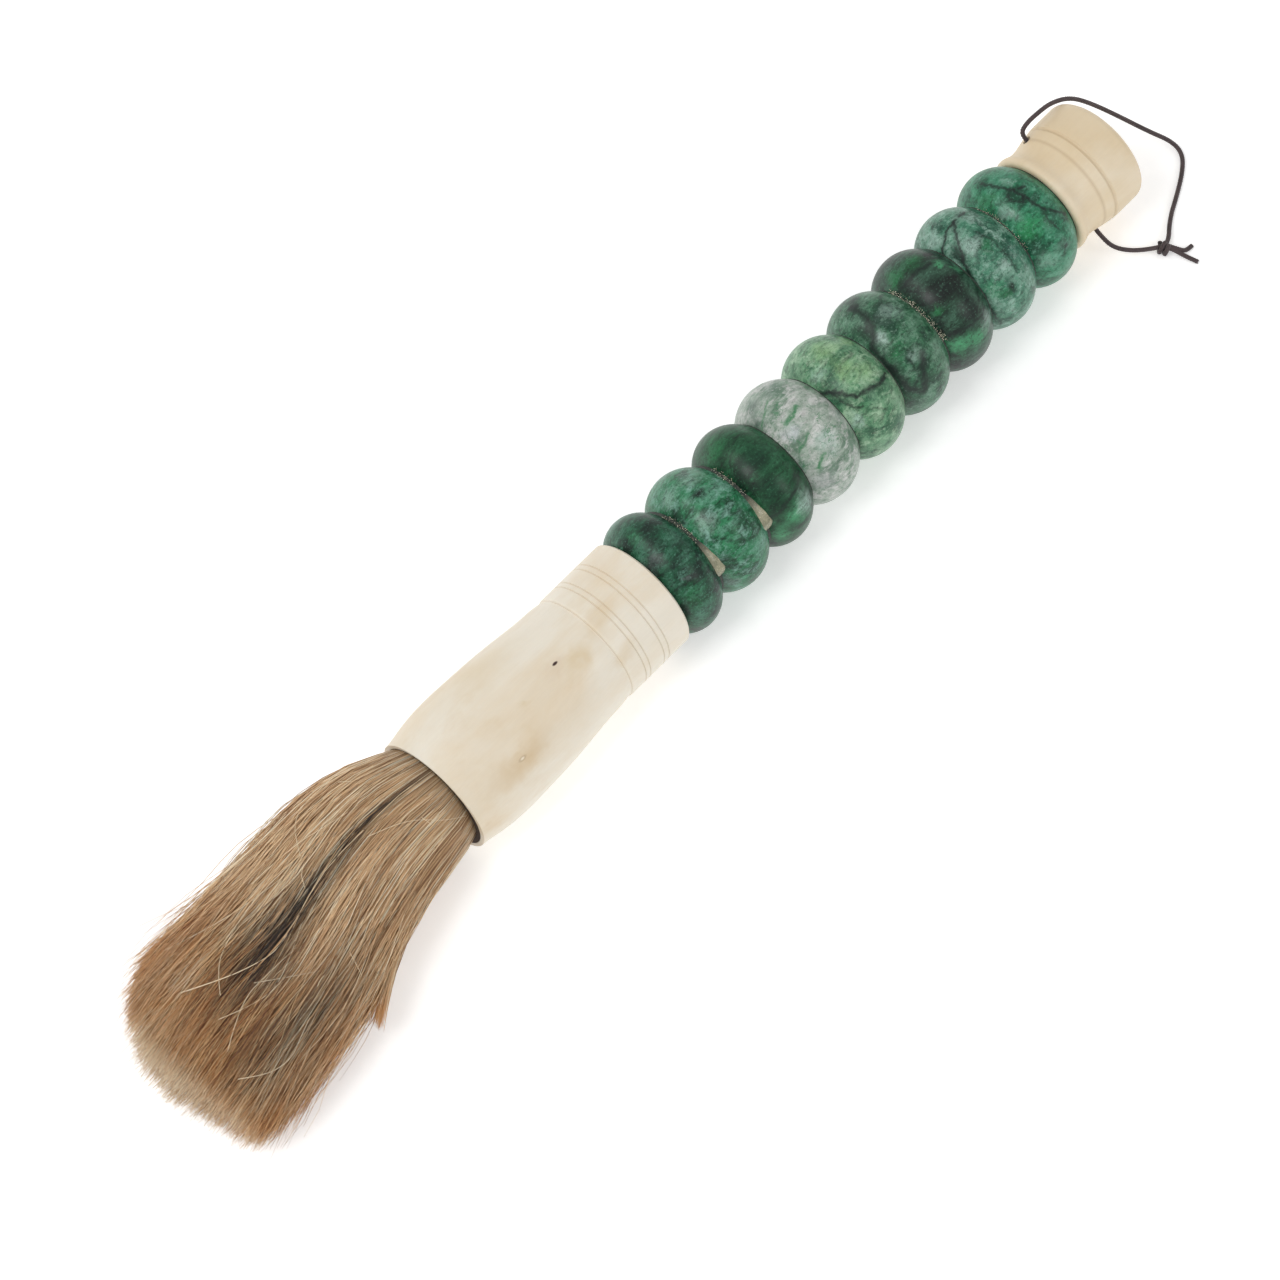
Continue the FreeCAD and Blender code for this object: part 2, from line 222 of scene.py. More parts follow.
def dress(node_name, finish):
    """Give a solid part its finish in every slot, without touching its mesh."""
    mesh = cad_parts[node_name].data
    if not mesh.materials:
        mesh.materials.append(finish.material)
    for index in range(len(mesh.materials)):
        mesh.materials[index] = finish.material


def tone(red, green, blue):
    """A screen colour, 0 to 255, as the linear light that a shader wants."""
    return tuple(((c / 255 + 0.055) / 1.055) ** 2.4 if c > 10 else c / 3294.6
                 for c in (red, green, blue))


def grained(name, roughness, stretch, noise, stops, bump=None, **gloss):
    """A finish of one noise: it picks a tone between the stops, and may stand up as a bump."""
    finish = Finish(name, roughness=roughness, **gloss)
    level = finish.noise(finish.place(stretch=stretch), *noise)
    finish.colour(finish.ramp(level, [(place, tone(*colour)) for place, colour in stops]))
    if bump:
        finish.bump(level, *bump)
    return finish


EVEN = (1, 1, 1)
print("finish helper ready")

# %% [markdown]
# ## Floor and light
# A pale seamless floor and a bright, even sky give the soft, nearly shadowless light of a
# catalogue table; the floor glows a little, as a light table does, so that it stays white
# while the brush is lit gently. Two soft boxes add the pairs of long, dull highlights on the
# polished stone: one hangs over the hair end, the other stands at the front right. A third,
# wide and weak, fills the far side. The sky is brighter where the camera sees it than where
# it lights the brush, so a low view has a white backdrop and no grey horizon. A large white
# wall would do the same, but it would also throw its own light on the stone.

# %% Floor
floor_mesh = bpy.data.meshes.new("floor")
floor_mesh.from_pydata([(-2, -2, 0), (2, -2, 0), (2, 2, 0), (-2, 2, 0)], [], [(0, 1, 2, 3)])
floor = put("floor", floor_mesh)
paper = grained("floor_paper", 0.9, EVEN, (260.0, 3.0), [(0.3, (246, 246, 246)), (0.7, (250, 250, 250))])
paper.shader.inputs["Emission Color"].default_value = (1, 1, 1, 1)
paper.shader.inputs["Emission Strength"].default_value = 0.34
floor_mesh.materials.append(paper.material)
print("floor", [round(d, 2) for d in floor.dimensions])

# %% Lights
world = bpy.data.worlds.new("sky")
bpy.context.scene.world = world
world.use_nodes = True
sky = world.node_tree.nodes["Background"]
sky.inputs["Color"].default_value = (1, 1, 1, 1)
seen_directly = world.node_tree.nodes.new("ShaderNodeLightPath").outputs["Is Camera Ray"]
sky_strength = world.node_tree.nodes.new("ShaderNodeMapRange")
sky_strength.inputs["To Min"].default_value = 0.60
sky_strength.inputs["To Max"].default_value = 1.0
world.node_tree.links.new(seen_directly, sky_strength.inputs["Value"])
world.node_tree.links.new(sky_strength.outputs["Result"], sky.inputs["Strength"])


def soft_box(name, direction, distance, width, depth, watts):
    light_data = bpy.data.lights.new(name, "AREA")
    light_data.shape = "RECTANGLE"
    light_data.size = width
    light_data.size_y = depth
    light_data.energy = watts
    light = put(name, light_data)
    away = Vector(direction).normalized()
    light.location = middle + away * distance
    light.rotation_mode = "QUATERNION"
    light.rotation_quaternion = (-away).to_track_quat("-Z", "Y")


soft_box("box_over_hair", (-0.514, 0.071, 0.858), 1.5, 0.45, 0.60, 6.0)
soft_box("box_front_right", (0.314, -0.746, 0.585), 1.5, 0.45, 0.60, 2.8)
soft_box("box_back_left", (-0.35, 0.62, 0.70), 1.6, 0.60, 0.60, 4.0)
bpy.context.scene.view_settings.view_transform = "Standard"

# %% [markdown]
# ## Hanging cord
# The cord is a thin round braid of dark thread. It leaves the upper mouth of the hole that
# crosses the cap, lies over the cap's edge, drops to the table, turns round, runs into the
# knot and comes back into the lower mouth. Its route is a curve through the air, and the
# braid is made of eight threads that wind about that curve, four each way, passing over and
# under each other. A round tube with a bump pattern would be quicker, but real threads keep
# their edge when the cord is seen close up.

# %% Route of the cord
cord_diameter = 0.0012
cord_points = [
    (0.15505, 0.0056, 0.0173),
    (0.15505, 0.0165, 0.02438),
    (0.15505, 0.0193, 0.0262),
    (0.1574, 0.0195, 0.0278),
    (0.1610, 0.0193, 0.0282),
    (0.1662, 0.0190, 0.0276),
    (0.1722, 0.0176, 0.0244),
    (0.1770, 0.0144, 0.0194),
    (0.1822, 0.0087, 0.0130),
    (0.1872, 0.0025, 0.0066),
    (0.1916, -0.0025, 0.0017),
    (0.1911, -0.0066, 0.0007),
    (0.1871, -0.0099, 0.0007),
    (0.1815, -0.0130, 0.0007),
    (0.1740, -0.0166, 0.0008),
    (0.1678, -0.0214, 0.0019),
    (0.1646, -0.0199, 0.0021),
    (0.1592, -0.0166, 0.0037),
    (0.1556, -0.0129, 0.0057),
    (0.15505, -0.0091, 0.0078),
    (0.15505, -0.0056, 0.01007),
    (0.15505, 0.0046, 0.0167),
]


def route(name, points):
    """Points along a smooth spline that has the given control points."""
    data = bpy.data.curves.new(name, "CURVE")
    data.dimensions = "3D"
    data.resolution_u = 24
    spline = data.splines.new("NURBS")
    spline.points.add(len(points) - 1)
    for point, place in zip(spline.points, points):
        point.co = (*place, 1)
    spline.order_u = 3
    spline.use_endpoint_u = True
    holder = bpy.data.objects.new(name, data)
    mesh = bpy.data.meshes.new_from_object(holder)
    line = np.array([vertex.co[:] for vertex in mesh.vertices])
    bpy.data.objects.remove(holder)
    bpy.data.meshes.remove(mesh)
    return line


def evenly(line, step):
    """The same line with its points a fixed step apart."""
    gaps = np.linalg.norm(np.diff(line, axis=0), axis=1)
    travelled = np.concatenate([[0], np.cumsum(gaps)])
    count = max(3, int(travelled[-1] / step) + 1)
    wanted = np.linspace(0, travelled[-1], count)
    spaced = np.stack([np.interp(wanted, travelled, line[:, k]) for k in range(3)], axis=1)
    return spaced, travelled[-1]


cord_line, cord_length = evenly(route("cord_route", cord_points), 0.00018)
print("cord length", round(cord_length, 4), "points", len(cord_line))

# %% Braided thread
def carried_frames(line):
    """Two directions across the line at each point, carried along it without twisting."""
    ahead = np.gradient(line, axis=0)
    ahead /= np.linalg.norm(ahead, axis=1)[:, None]
    side = np.zeros_like(line)
    first = np.cross(ahead[0], (0.0, 0.0, 1.0))
    side[0] = first / np.linalg.norm(first)
    for i in range(1, len(line)):
        carried = side[i - 1] - ahead[i] * np.dot(side[i - 1], ahead[i])
        side[i] = carried / np.linalg.norm(carried)
    return side, np.cross(ahead, side)


def tube_mesh(name, lines, radii, sides, values=None):
    """One mesh of thin closed tubes. lines is tubes x points x 3 and radii is tubes x points."""
    tubes, points = lines.shape[:2]
    ahead = np.gradient(lines, axis=1)
    ahead /= np.linalg.norm(ahead, axis=2)[..., None] + 1e-12
    guide = np.where(np.abs(ahead[..., 2:3]) < 0.9, np.array([0, 0, 1.0]), np.array([0, 1.0, 0]))
    side = np.cross(ahead, guide)
    side /= np.linalg.norm(side, axis=2)[..., None] + 1e-12
    up = np.cross(side, ahead)
    turn = np.arange(sides) * 2 * np.pi / sides
    ring = side[:, :, None] * np.cos(turn)[:, None] + up[:, :, None] * np.sin(turn)[:, None]
    vertices = (lines[:, :, None] + ring * radii[:, :, None, None]).reshape(-1, 3)
    start = (np.arange(tubes)[:, None, None] * points + np.arange(points - 1)[None, :, None]) * sides
    here = start + np.arange(sides)
    onward = start + (np.arange(sides) + 1) % sides
    quads = np.stack([here, onward, onward + sides, here + sides], axis=-1).reshape(-1, 4)
    base = np.arange(tubes)[:, None] * points * sides
    far = base + (points - 1) * sides
    ends = np.concatenate([base + np.arange(sides)[::-1], far + np.arange(sides)])
    mesh = bpy.data.meshes.new(name)
    loops = np.concatenate([quads.ravel(), ends.ravel()])
    sizes = np.concatenate([np.full(len(quads), 4), np.full(len(ends), sides)]).astype(np.int32)
    mesh.vertices.add(len(vertices))
    mesh.vertices.foreach_set("co", vertices.ravel().astype(np.float32))
    mesh.loops.add(len(loops))
    mesh.loops.foreach_set("vertex_index", loops.astype(np.int32))
    mesh.polygons.add(len(sizes))
    starts = np.concatenate([[0], np.cumsum(sizes)[:-1]])
    mesh.polygons.foreach_set("loop_start", starts.astype(np.int32))
    mesh.polygons.foreach_set("loop_total", sizes)
    mesh.update(calc_edges=True)
    for key, value in (values or {}).items():
        attribute = mesh.attributes.new(key, "FLOAT", "POINT")
        attribute.data.foreach_set("value", np.repeat(value.reshape(-1), sides).astype(np.float32))
    mesh.polygons.foreach_set("use_smooth", np.ones(len(sizes), dtype=bool))
    return put(name, mesh)


def braid_lines(line, diameter, lay=0.0026):
    """Eight threads, four each way, that pass over and under each other about a line."""
    side, up = carried_frames(line)
    gaps = np.linalg.norm(np.diff(line, axis=0), axis=1)
    travelled = np.concatenate([[0], np.cumsum(gaps)])
    wind = 2 * np.pi * travelled / lay
    weave = np.cos(4 * (wind - np.pi / 8))
    threads = []
    for hand in (1, -1):
        for k in range(4):
            angle = hand * wind + k * np.pi / 2 + (0 if hand > 0 else np.pi / 4)
            radius = diameter * (0.33 + hand * 0.05 * weave)
            out = np.cos(angle)[:, None] * side + np.sin(angle)[:, None] * up
            threads.append(line + radius[:, None] * out)
    return np.array(threads)


def braid(name, line):
    """The braid about a line, as one mesh of round threads."""
    threads = braid_lines(line, cord_diameter)
    return tube_mesh(name, threads, np.full(threads.shape[:2], thread_radius), 6)


thread_radius = 0.175 * cord_diameter
hanging_cord = braid("braided_cord", cord_line)
print("cord faces", len(hanging_cord.data.polygons))

# %% [markdown]
# ## Knot
# An overhand knot closes the loop. Both ends of the cord go through it and stick out as two
# short tails, cut square. The knot is made of the same braid, wound twice
# round the place where the two ends meet.

# %% Knot and tails
knot_centre = Vector((0.1663, -0.0211, 0.0019))
tail_points = [
    [(0.16655, -0.0215, 0.0022), (0.1671, -0.0229, 0.0021), (0.1677, -0.0242, 0.0016),
     (0.1682, -0.0255, 0.0011), (0.1688, -0.0276, 0.0008), (0.1695, -0.0299, 0.0007)],
    [(0.1668, -0.0211, 0.0024), (0.1675, -0.0226, 0.0022), (0.1684, -0.0241, 0.0018),
     (0.1692, -0.0252, 0.0012), (0.1705, -0.0257, 0.0008), (0.1721, -0.0257, 0.0007)],
]
tail_lines = [evenly(route("tail_route", points), 0.0002)[0] for points in tail_points]
knot_axis = Vector((0.42, -0.9, -0.05)).normalized()
knot_side = knot_axis.cross(Vector((0, 0, 1))).normalized()
knot_up = knot_side.cross(knot_axis)
wrap_points = []
wrap_steps = 22
for step in range(wrap_steps + 1):
    share = step / wrap_steps
    angle = math.radians(-200 + 700 * share)
    tuck = min(1.0, 0.4 + 5 * share, 5.4 - 5 * share)
    reach = tuck * (0.00135 + 0.00025 * math.sin(3 * math.pi * share))
    rise = (share - 0.5) * 0.0027
    across = knot_side * (1.15 * reach * math.cos(angle))
    upward = knot_up * (0.85 * reach * math.sin(angle))
    wrap_points.append(tuple(knot_centre + knot_axis * rise + across + upward))
wrap_line = evenly(route("wrap_route", wrap_points), 0.0002)[0]
knot_parts = [braid("knot_wrap", wrap_line), braid("knot_tail_a", tail_lines[0]),
              braid("knot_tail_b", tail_lines[1])]
print("knot parts", len(knot_parts))

def joined(parts, name):
    """One mesh piece made of several."""
    whole = bmesh.new()
    for part in parts:
        whole.from_mesh(part.data)
        bpy.data.objects.remove(part)
    mesh = bpy.data.meshes.new(name)
    whole.to_mesh(mesh)
    whole.free()
    return put(name, mesh)


knot = joined(knot_parts, "overhand_knot")
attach(hanging_cord, "cord_loop")
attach(knot, "cord_loop")
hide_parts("hanging_cord")
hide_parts("cord_knot")
print("knot box", [round(d, 4) for d in knot.dimensions])

# %% Thread finish
thread = Finish("dark_braid", roughness=0.62, sheen=0.25)
thread_place = thread.place()
thread_fibre = thread.noise(thread_place, 5200.0, 3.0, 0.6)
thread_patch = thread.noise(thread_place, 190.0, 2.0)
thread_base = thread.ramp(thread_fibre, [(0.25, tone(32, 24, 26)), (0.75, tone(80, 64, 66))])
worn_share = thread.ramp(thread_patch, [(0.35, 0.0), (0.7, 0.35)])
thread.colour(thread.mix(worn_share, thread_base, tone(104, 88, 88)))
thread.bump(thread_fibre, 0.5, 0.00004)
for piece in (hanging_cord, knot):
    piece.data.materials.append(thread.material)
print("thread finish ready")

# %% [markdown]
# ## Bone
# The ferrule and the cap are turned from ox bone: ivory, with cloudy tan patches, very fine
# grain along the length and a dull polish. The ferrule has one small dark pit and one pale
# pit in a tan halo. A solid colour with a noise on top would look like plastic, so the tan is
# laid on in three sizes of patch, and the engraved lines get a band of painted shade, a darker
# tan where shade falls in the groove.

# %% Bone finish
def bone(name, light, tan, patch_share, line_places=(), line_half_width=0.0002, groove_shade_strength=0.0):
    """Bone with painted shade along the engraved lines at the given places. Returns the finish, its places,
    its colour.
    """
    finish = Finish(name, roughness=0.48, coat=0.05)
    place = finish.place()
    cloud = finish.noise(finish.place(stretch=(0.55, 1, 1)), 38.0, 5.0, 0.6, 0.4)
    blotch = finish.noise(finish.place(stretch=(0.5, 1, 1), shift=(0.3, 0.1, 0)), 120.0, 4.0, 0.6)
    grain = finish.noise(finish.place(stretch=(0.06, 1, 1)), 1900.0, 3.0, 0.6)
    soft = finish.ramp(cloud, [(0.40, 0.0), (0.66, patch_share)])
    colour = finish.mix(soft, light, tan)
    spots = finish.ramp(blotch, [(0.56, 0.0), (0.74, 0.30)])
    colour = finish.mix(spots, colour, tone(206, 180, 138))
    grey = finish.ramp(grain, [(0.35, 0.975), (0.65, 1.0)])
    colour = finish.mix(1.0, colour, grey, "MULTIPLY")
    along = finish.split(place)["X"]
    # Painted shade: a darker tan band along each engraved line, where shade falls in the groove.
    for line_x in line_places:
        away = finish.sums("ABSOLUTE", finish.sums("SUBTRACT", along, line_x))
        band = finish.sums("SUBTRACT", 1.0, finish.sums("DIVIDE", away, line_half_width), clamp=True)
        colour = finish.mix(finish.sums("MULTIPLY", band, groove_shade_strength), colour, tone(176, 150, 112))
    finish.shader.inputs["Subsurface Weight"].default_value = 0.06
    finish.shader.inputs["Subsurface Radius"].default_value = (0.004, 0.003, 0.002)
    finish.shader.inputs["Subsurface Scale"].default_value = 0.5
    finish.bump(finish.sums("ADD", grain, cloud), 0.06, 0.0001)
    finish.colour(colour)
    return finish, place, colour


ring_offsets = (0.0206, 0.0158, 0.0142, 0.0093, 0.0076)
ferrule_bone, ferrule_place, ferrule_colour = bone(
    "ferrule_bone", tone(231, 223, 207), tone(220, 200, 168), 0.8,
    [ferrule_high.x - offset for offset in ring_offsets], 0.00025, 0.26)
dark_pit = Vector((-0.0340, 0.0025, 0.0330))
pale_pit = Vector((-0.0560, -0.0077, 0.0293))
pushed = ferrule_bone.wobble(ferrule_bone.wobble(ferrule_place, 90.0, 0.010), 420.0, 0.0024)


def long_spot(point, reach, squeeze, edge):
    """A spot that is longer along the brush than across it."""
    squeezed = ferrule_bone.vectors("MULTIPLY", pushed, (squeeze, 1, 1))
    return ferrule_bone.near(squeezed, (point.x * squeeze, point.y, point.z), reach, edge)


# Tan spots: middle, reach, squeeze along the brush, soft share of the edge, strength, tone
for point, reach, squeeze, edge, strength, spot_tone in (
        (Vector((mouth_x + 0.026, axis_y + 0.012, axis_z + 0.013)),
         0.0125, 0.55, 0.95, 0.42, (214, 194, 158)),
        (Vector((mouth_x + 0.0555, axis_y - 0.003, axis_z + 0.016)),
         0.0045, 0.60, 0.95, 0.40, (210, 186, 146)),
        (Vector((mouth_x + 0.0445, axis_y - 0.005, axis_z + 0.015)),
         0.0036, 0.60, 0.95, 0.50, (208, 184, 140)),
        (Vector((mouth_x + 0.0560, axis_y - 0.012, axis_z + 0.010)),
         0.0036, 0.60, 0.95, 0.40, (210, 186, 146)),
        (pale_pit, 0.0062, 0.42, 0.95, 0.62, (203, 174, 128)),
        (dark_pit, 0.0026, 0.60, 0.95, 0.28, (200, 172, 140)),
        (Vector((mouth_x + 0.0265, axis_y - 0.005, axis_z + 0.016)),
         0.0020, 0.60, 0.9, 0.50, (206, 182, 136))):
    spot = ferrule_bone.sums("MULTIPLY", long_spot(point, reach, squeeze, edge), strength)
    ferrule_colour = ferrule_bone.mix(spot, ferrule_colour, tone(*spot_tone))
pit_squeeze = 0.45
long_place = ferrule_bone.vectors("MULTIPLY", ferrule_place, (pit_squeeze, 1, 1))
for point, reach, pit_tone, strength in (
        (dark_pit, 0.00048, (62, 40, 34), 1.0),
        (pale_pit, 0.00080, (156, 128, 94), 0.40),
        (pale_pit, 0.00048, (238, 227, 207), 0.85)):
    squeezed_pit = (point.x * pit_squeeze, point.y, point.z)
    pit = ferrule_bone.near(long_place, squeezed_pit, reach, 0.5)
    pit = ferrule_bone.sums("MULTIPLY", pit, strength)
    ferrule_colour = ferrule_bone.mix(pit, ferrule_colour, tone(*pit_tone))
ferrule_bone.colour(ferrule_colour)
# The cap's grooves get a wider and stronger band of painted shade than the ferrule's rings.
groove_offsets = (0.0091, 0.0127)
cap_bone = bone("cap_bone", tone(228, 213, 187), tone(216, 193, 154), 0.7,
                [cap_low.x + offset for offset in groove_offsets], 0.0007, 0.40)[0]
disc_bone = bone("disc_bone", tone(224, 206, 178), tone(212, 186, 142), 0.9)[0]
dress("ferrule", ferrule_bone)
dress("end_cap", cap_bone)
dress("cap_end_disc", disc_bone)
print("bone parts dressed")

# %% [markdown]
# ## Stone
# Each rondelle is a different piece of a dyed green quartz-like stone. All share one recipe:
# a cloud of deep and mid green, a second cloud of pale grey-green, short streaks, thin dark
# veins along the middle level of a wandering noise, a finer net of cracks made the same way,
# and a few veins and stains that are placed one by one on the bead where they matter; on
# beads 4, 6 and 8 two of the pale stains are painted highlights of the two soft boxes. A drawn
# vein is laid on twice, once wide and faint and once narrow and full, as dye soaks into the
# stone beside a crack. The bead's own number shifts the noise, so no two are alike. A
# picture wrapped round the bead would stretch at its faces; a recipe in space is cut by the
# surface as real stone is.

# %% Places on a bead
bead_face_radius = 0.013


def bead_shape(number):
    """A bead's middle along the brush, half width, rim radius and the radius of its side's arc."""
    low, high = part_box(f"bead_{number}")
    half_width = (high.x - low.x) / 2
    rim = (high.z - low.z) / 2
    drop = rim - bead_face_radius
    return (low.x + high.x) / 2, half_width, rim, (half_width ** 2 + drop ** 2) / (2 * drop)


def on_bead(number, along, turn):
    """A point on a rim: along runs from -1 to 1, and turn is degrees from the top towards +Y."""
    centre_x, half_width, rim, arc = bead_shape(number)
    shift = along * half_width
    radius = rim - arc + math.sqrt(arc ** 2 - shift ** 2)
    angle = math.radians(turn)
    return Vector((centre_x + shift, axis_y + radius * math.sin(angle), axis_z + radius * math.cos(angle)))


print("top of bead 3", [round(c, 4) for c in on_bead(3, 0, 0)])

# %% Stone finish
INK, MOSS, JADE = (22, 34, 30), (36, 112, 66), (70, 150, 104)
MILK_AND_HIGHLIGHT, SAGE, ASH = (168, 196, 184), (140, 178, 128), (92, 100, 98)


def drawn_line(finish, place, points):
    """Distance from a place to the nearest run of a line that is drawn through points."""
    gap = None
    for start_point, end_point in zip(points, points[1:]):
        run = end_point - start_point
        share = finish.vectors("DOT_PRODUCT", finish.vectors("SUBTRACT", place, tuple(start_point)),
                               tuple(run / run.length_squared))
        foot = finish.tree.nodes.new("ShaderNodeVectorMath")
        foot.operation = "SCALE"
        foot.inputs[0].default_value = tuple(run)
        finish.feed(foot.inputs["Scale"], finish.sums("ADD", share, 0.0, clamp=True))
        nearest = finish.vectors("ADD", foot.outputs["Vector"], tuple(start_point))
        away = finish.vectors("DISTANCE", place, nearest)
        gap = away if gap is None else finish.sums("MINIMUM", gap, away)
    return gap


def stone(number, deep, mid, pale, pale_share, streak, vein_share, vein_tone=INK,
          patch_scale=170.0, pale_scale=300.0, stains_and_highlights=(), veins=(), roughness=0.36, contrast=1.0):
    """One bead's stone. Stains and painted highlights are (along, turn, reach in mm, tone, strength), and
    veins are (width, strength, [(along, turn), ...])."""
    finish = Finish(f"stone_{number}", roughness=roughness)
    finish.shader.inputs["Specular IOR Level"].default_value = 0.30
    shift = (0.37 * number, 0.21 * number, -0.17 * number)
    dark = tuple((1 - 0.28 * contrast) * channel for channel in tone(*deep))
    light = tuple(1.10 * channel for channel in tone(*pale))
    place = finish.place()
    moved = finish.place(shift=shift)
    drawn = finish.place(stretch=(streak, 1.0, 1.0), shift=shift)
    wandering = finish.wobble(drawn, 240.0, 0.003)
    cloud = finish.noise(wandering, patch_scale, 8.0, 0.66, 0.15)
    part_pale = tuple(0.6 * a + 0.4 * b for a, b in zip(tone(*mid), tone(*pale)))
    colour = finish.ramp(cloud, [(0.40, dark), (0.50, tone(*mid)), (0.60, part_pale)])
    second = finish.noise(finish.vectors("ADD", wandering, (0.7, 0.2, 0.4)), pale_scale, 8.0, 0.70, 0.2)
    start = 0.62 - 0.20 * pale_share
    pale_parts = finish.ramp(second, [(start, 0.0), (start + 0.12, min(1.0, 0.25 + pale_share))])
    colour = finish.mix(pale_parts, colour, light)
    pushed = finish.wobble(finish.wobble(place, 190.0, 0.0065), 650.0, 0.0032)
    # Stains, and on beads 4, 6 and 8 painted highlights: pale spots where the two soft boxes shine on the
    # stone.
    for along, turn, reach, stain_and_highlight_tone, strength in stains_and_highlights:
        spot = finish.near(pushed, on_bead(number, along, turn), reach / 1000, 0.85)
        strong = min(1.0, strength * 1.25)
        patches = finish.ramp(second, [(0.40, strong), (0.62, strong * 0.6)])
        colour = finish.mix(finish.sums("MULTIPLY", spot, patches), colour, tone(*stain_and_highlight_tone))
    stretched = finish.place(stretch=(0.35 * streak + 0.1, 1, 1), shift=shift)
    fibre = finish.noise(stretched, 900.0, 5.0, 0.72, 0.4)
    streaks = finish.ramp(fibre, [(0.32, 1 - 0.64 * contrast), (0.48, 0.92), (0.64, 1.12)])
    colour = finish.mix(1.0, colour, streaks, "MULTIPLY")
    flecks = finish.noise(moved, 1500.0, 4.0, 0.7)
    colour = finish.mix(finish.ramp(flecks, [(0.34, 0.75), (0.44, 0.0)]), colour, dark)
    colour = finish.mix(finish.ramp(flecks, [(0.56, 0.0), (0.70, 0.55)]), colour, light)
    small_level = finish.noise(finish.wobble(moved, 700.0, 0.002), 330.0, 4.0, 0.62, 0.1)
    small_ridge = finish.sums("ABSOLUTE", finish.sums("SUBTRACT", small_level, 0.5))
    small_line = finish.sums("SUBTRACT", 1.0, finish.sums("DIVIDE", small_ridge, 0.022), clamp=True)
    crack_share = finish.ramp(second, [(0.42, 0.50), (0.60, 0.12)])
    colour = finish.mix(finish.sums("MULTIPLY", small_line, crack_share), colour, dark)
    level = finish.noise(finish.wobble(moved, 420.0, 0.003), 110.0, 5.0, 0.6, 0.1)
    ridge = finish.sums("ABSOLUTE", finish.sums("SUBTRACT", level, 0.5))
    line = finish.sums("SUBTRACT", 1.0, finish.sums("DIVIDE", ridge, 0.012), clamp=True)
    broken = finish.ramp(finish.noise(moved, 150.0, 3.0), [(0.46, 0.0), (0.58, vein_share)])
    colour = finish.mix(finish.sums("MULTIPLY", line, broken), colour, tone(*vein_tone))
    shaken = finish.wobble(finish.wobble(place, 620.0, 0.0016), 2200.0, 0.0005)
    for width, strength, stops in veins:
        gap = drawn_line(finish, shaken, [on_bead(number, along, turn) for along, turn in stops])
        for spread, share in ((0.0044, 0.35), (0.0017, 1.0)):
            band = finish.sums("SUBTRACT", 1.0, finish.sums("DIVIDE", gap, width * spread), clamp=True)
            band = finish.sums("MULTIPLY", finish.sums("POWER", band, 0.6), strength * share)
            colour = finish.mix(band, colour, tone(*vein_tone))
    finish.colour(colour)
    finish.roughness(finish.ramp(second, [(0.35, roughness * 0.85), (0.7, roughness * 1.25)]))
    finish.bump(flecks, 0.08, 0.00006)
    return finish


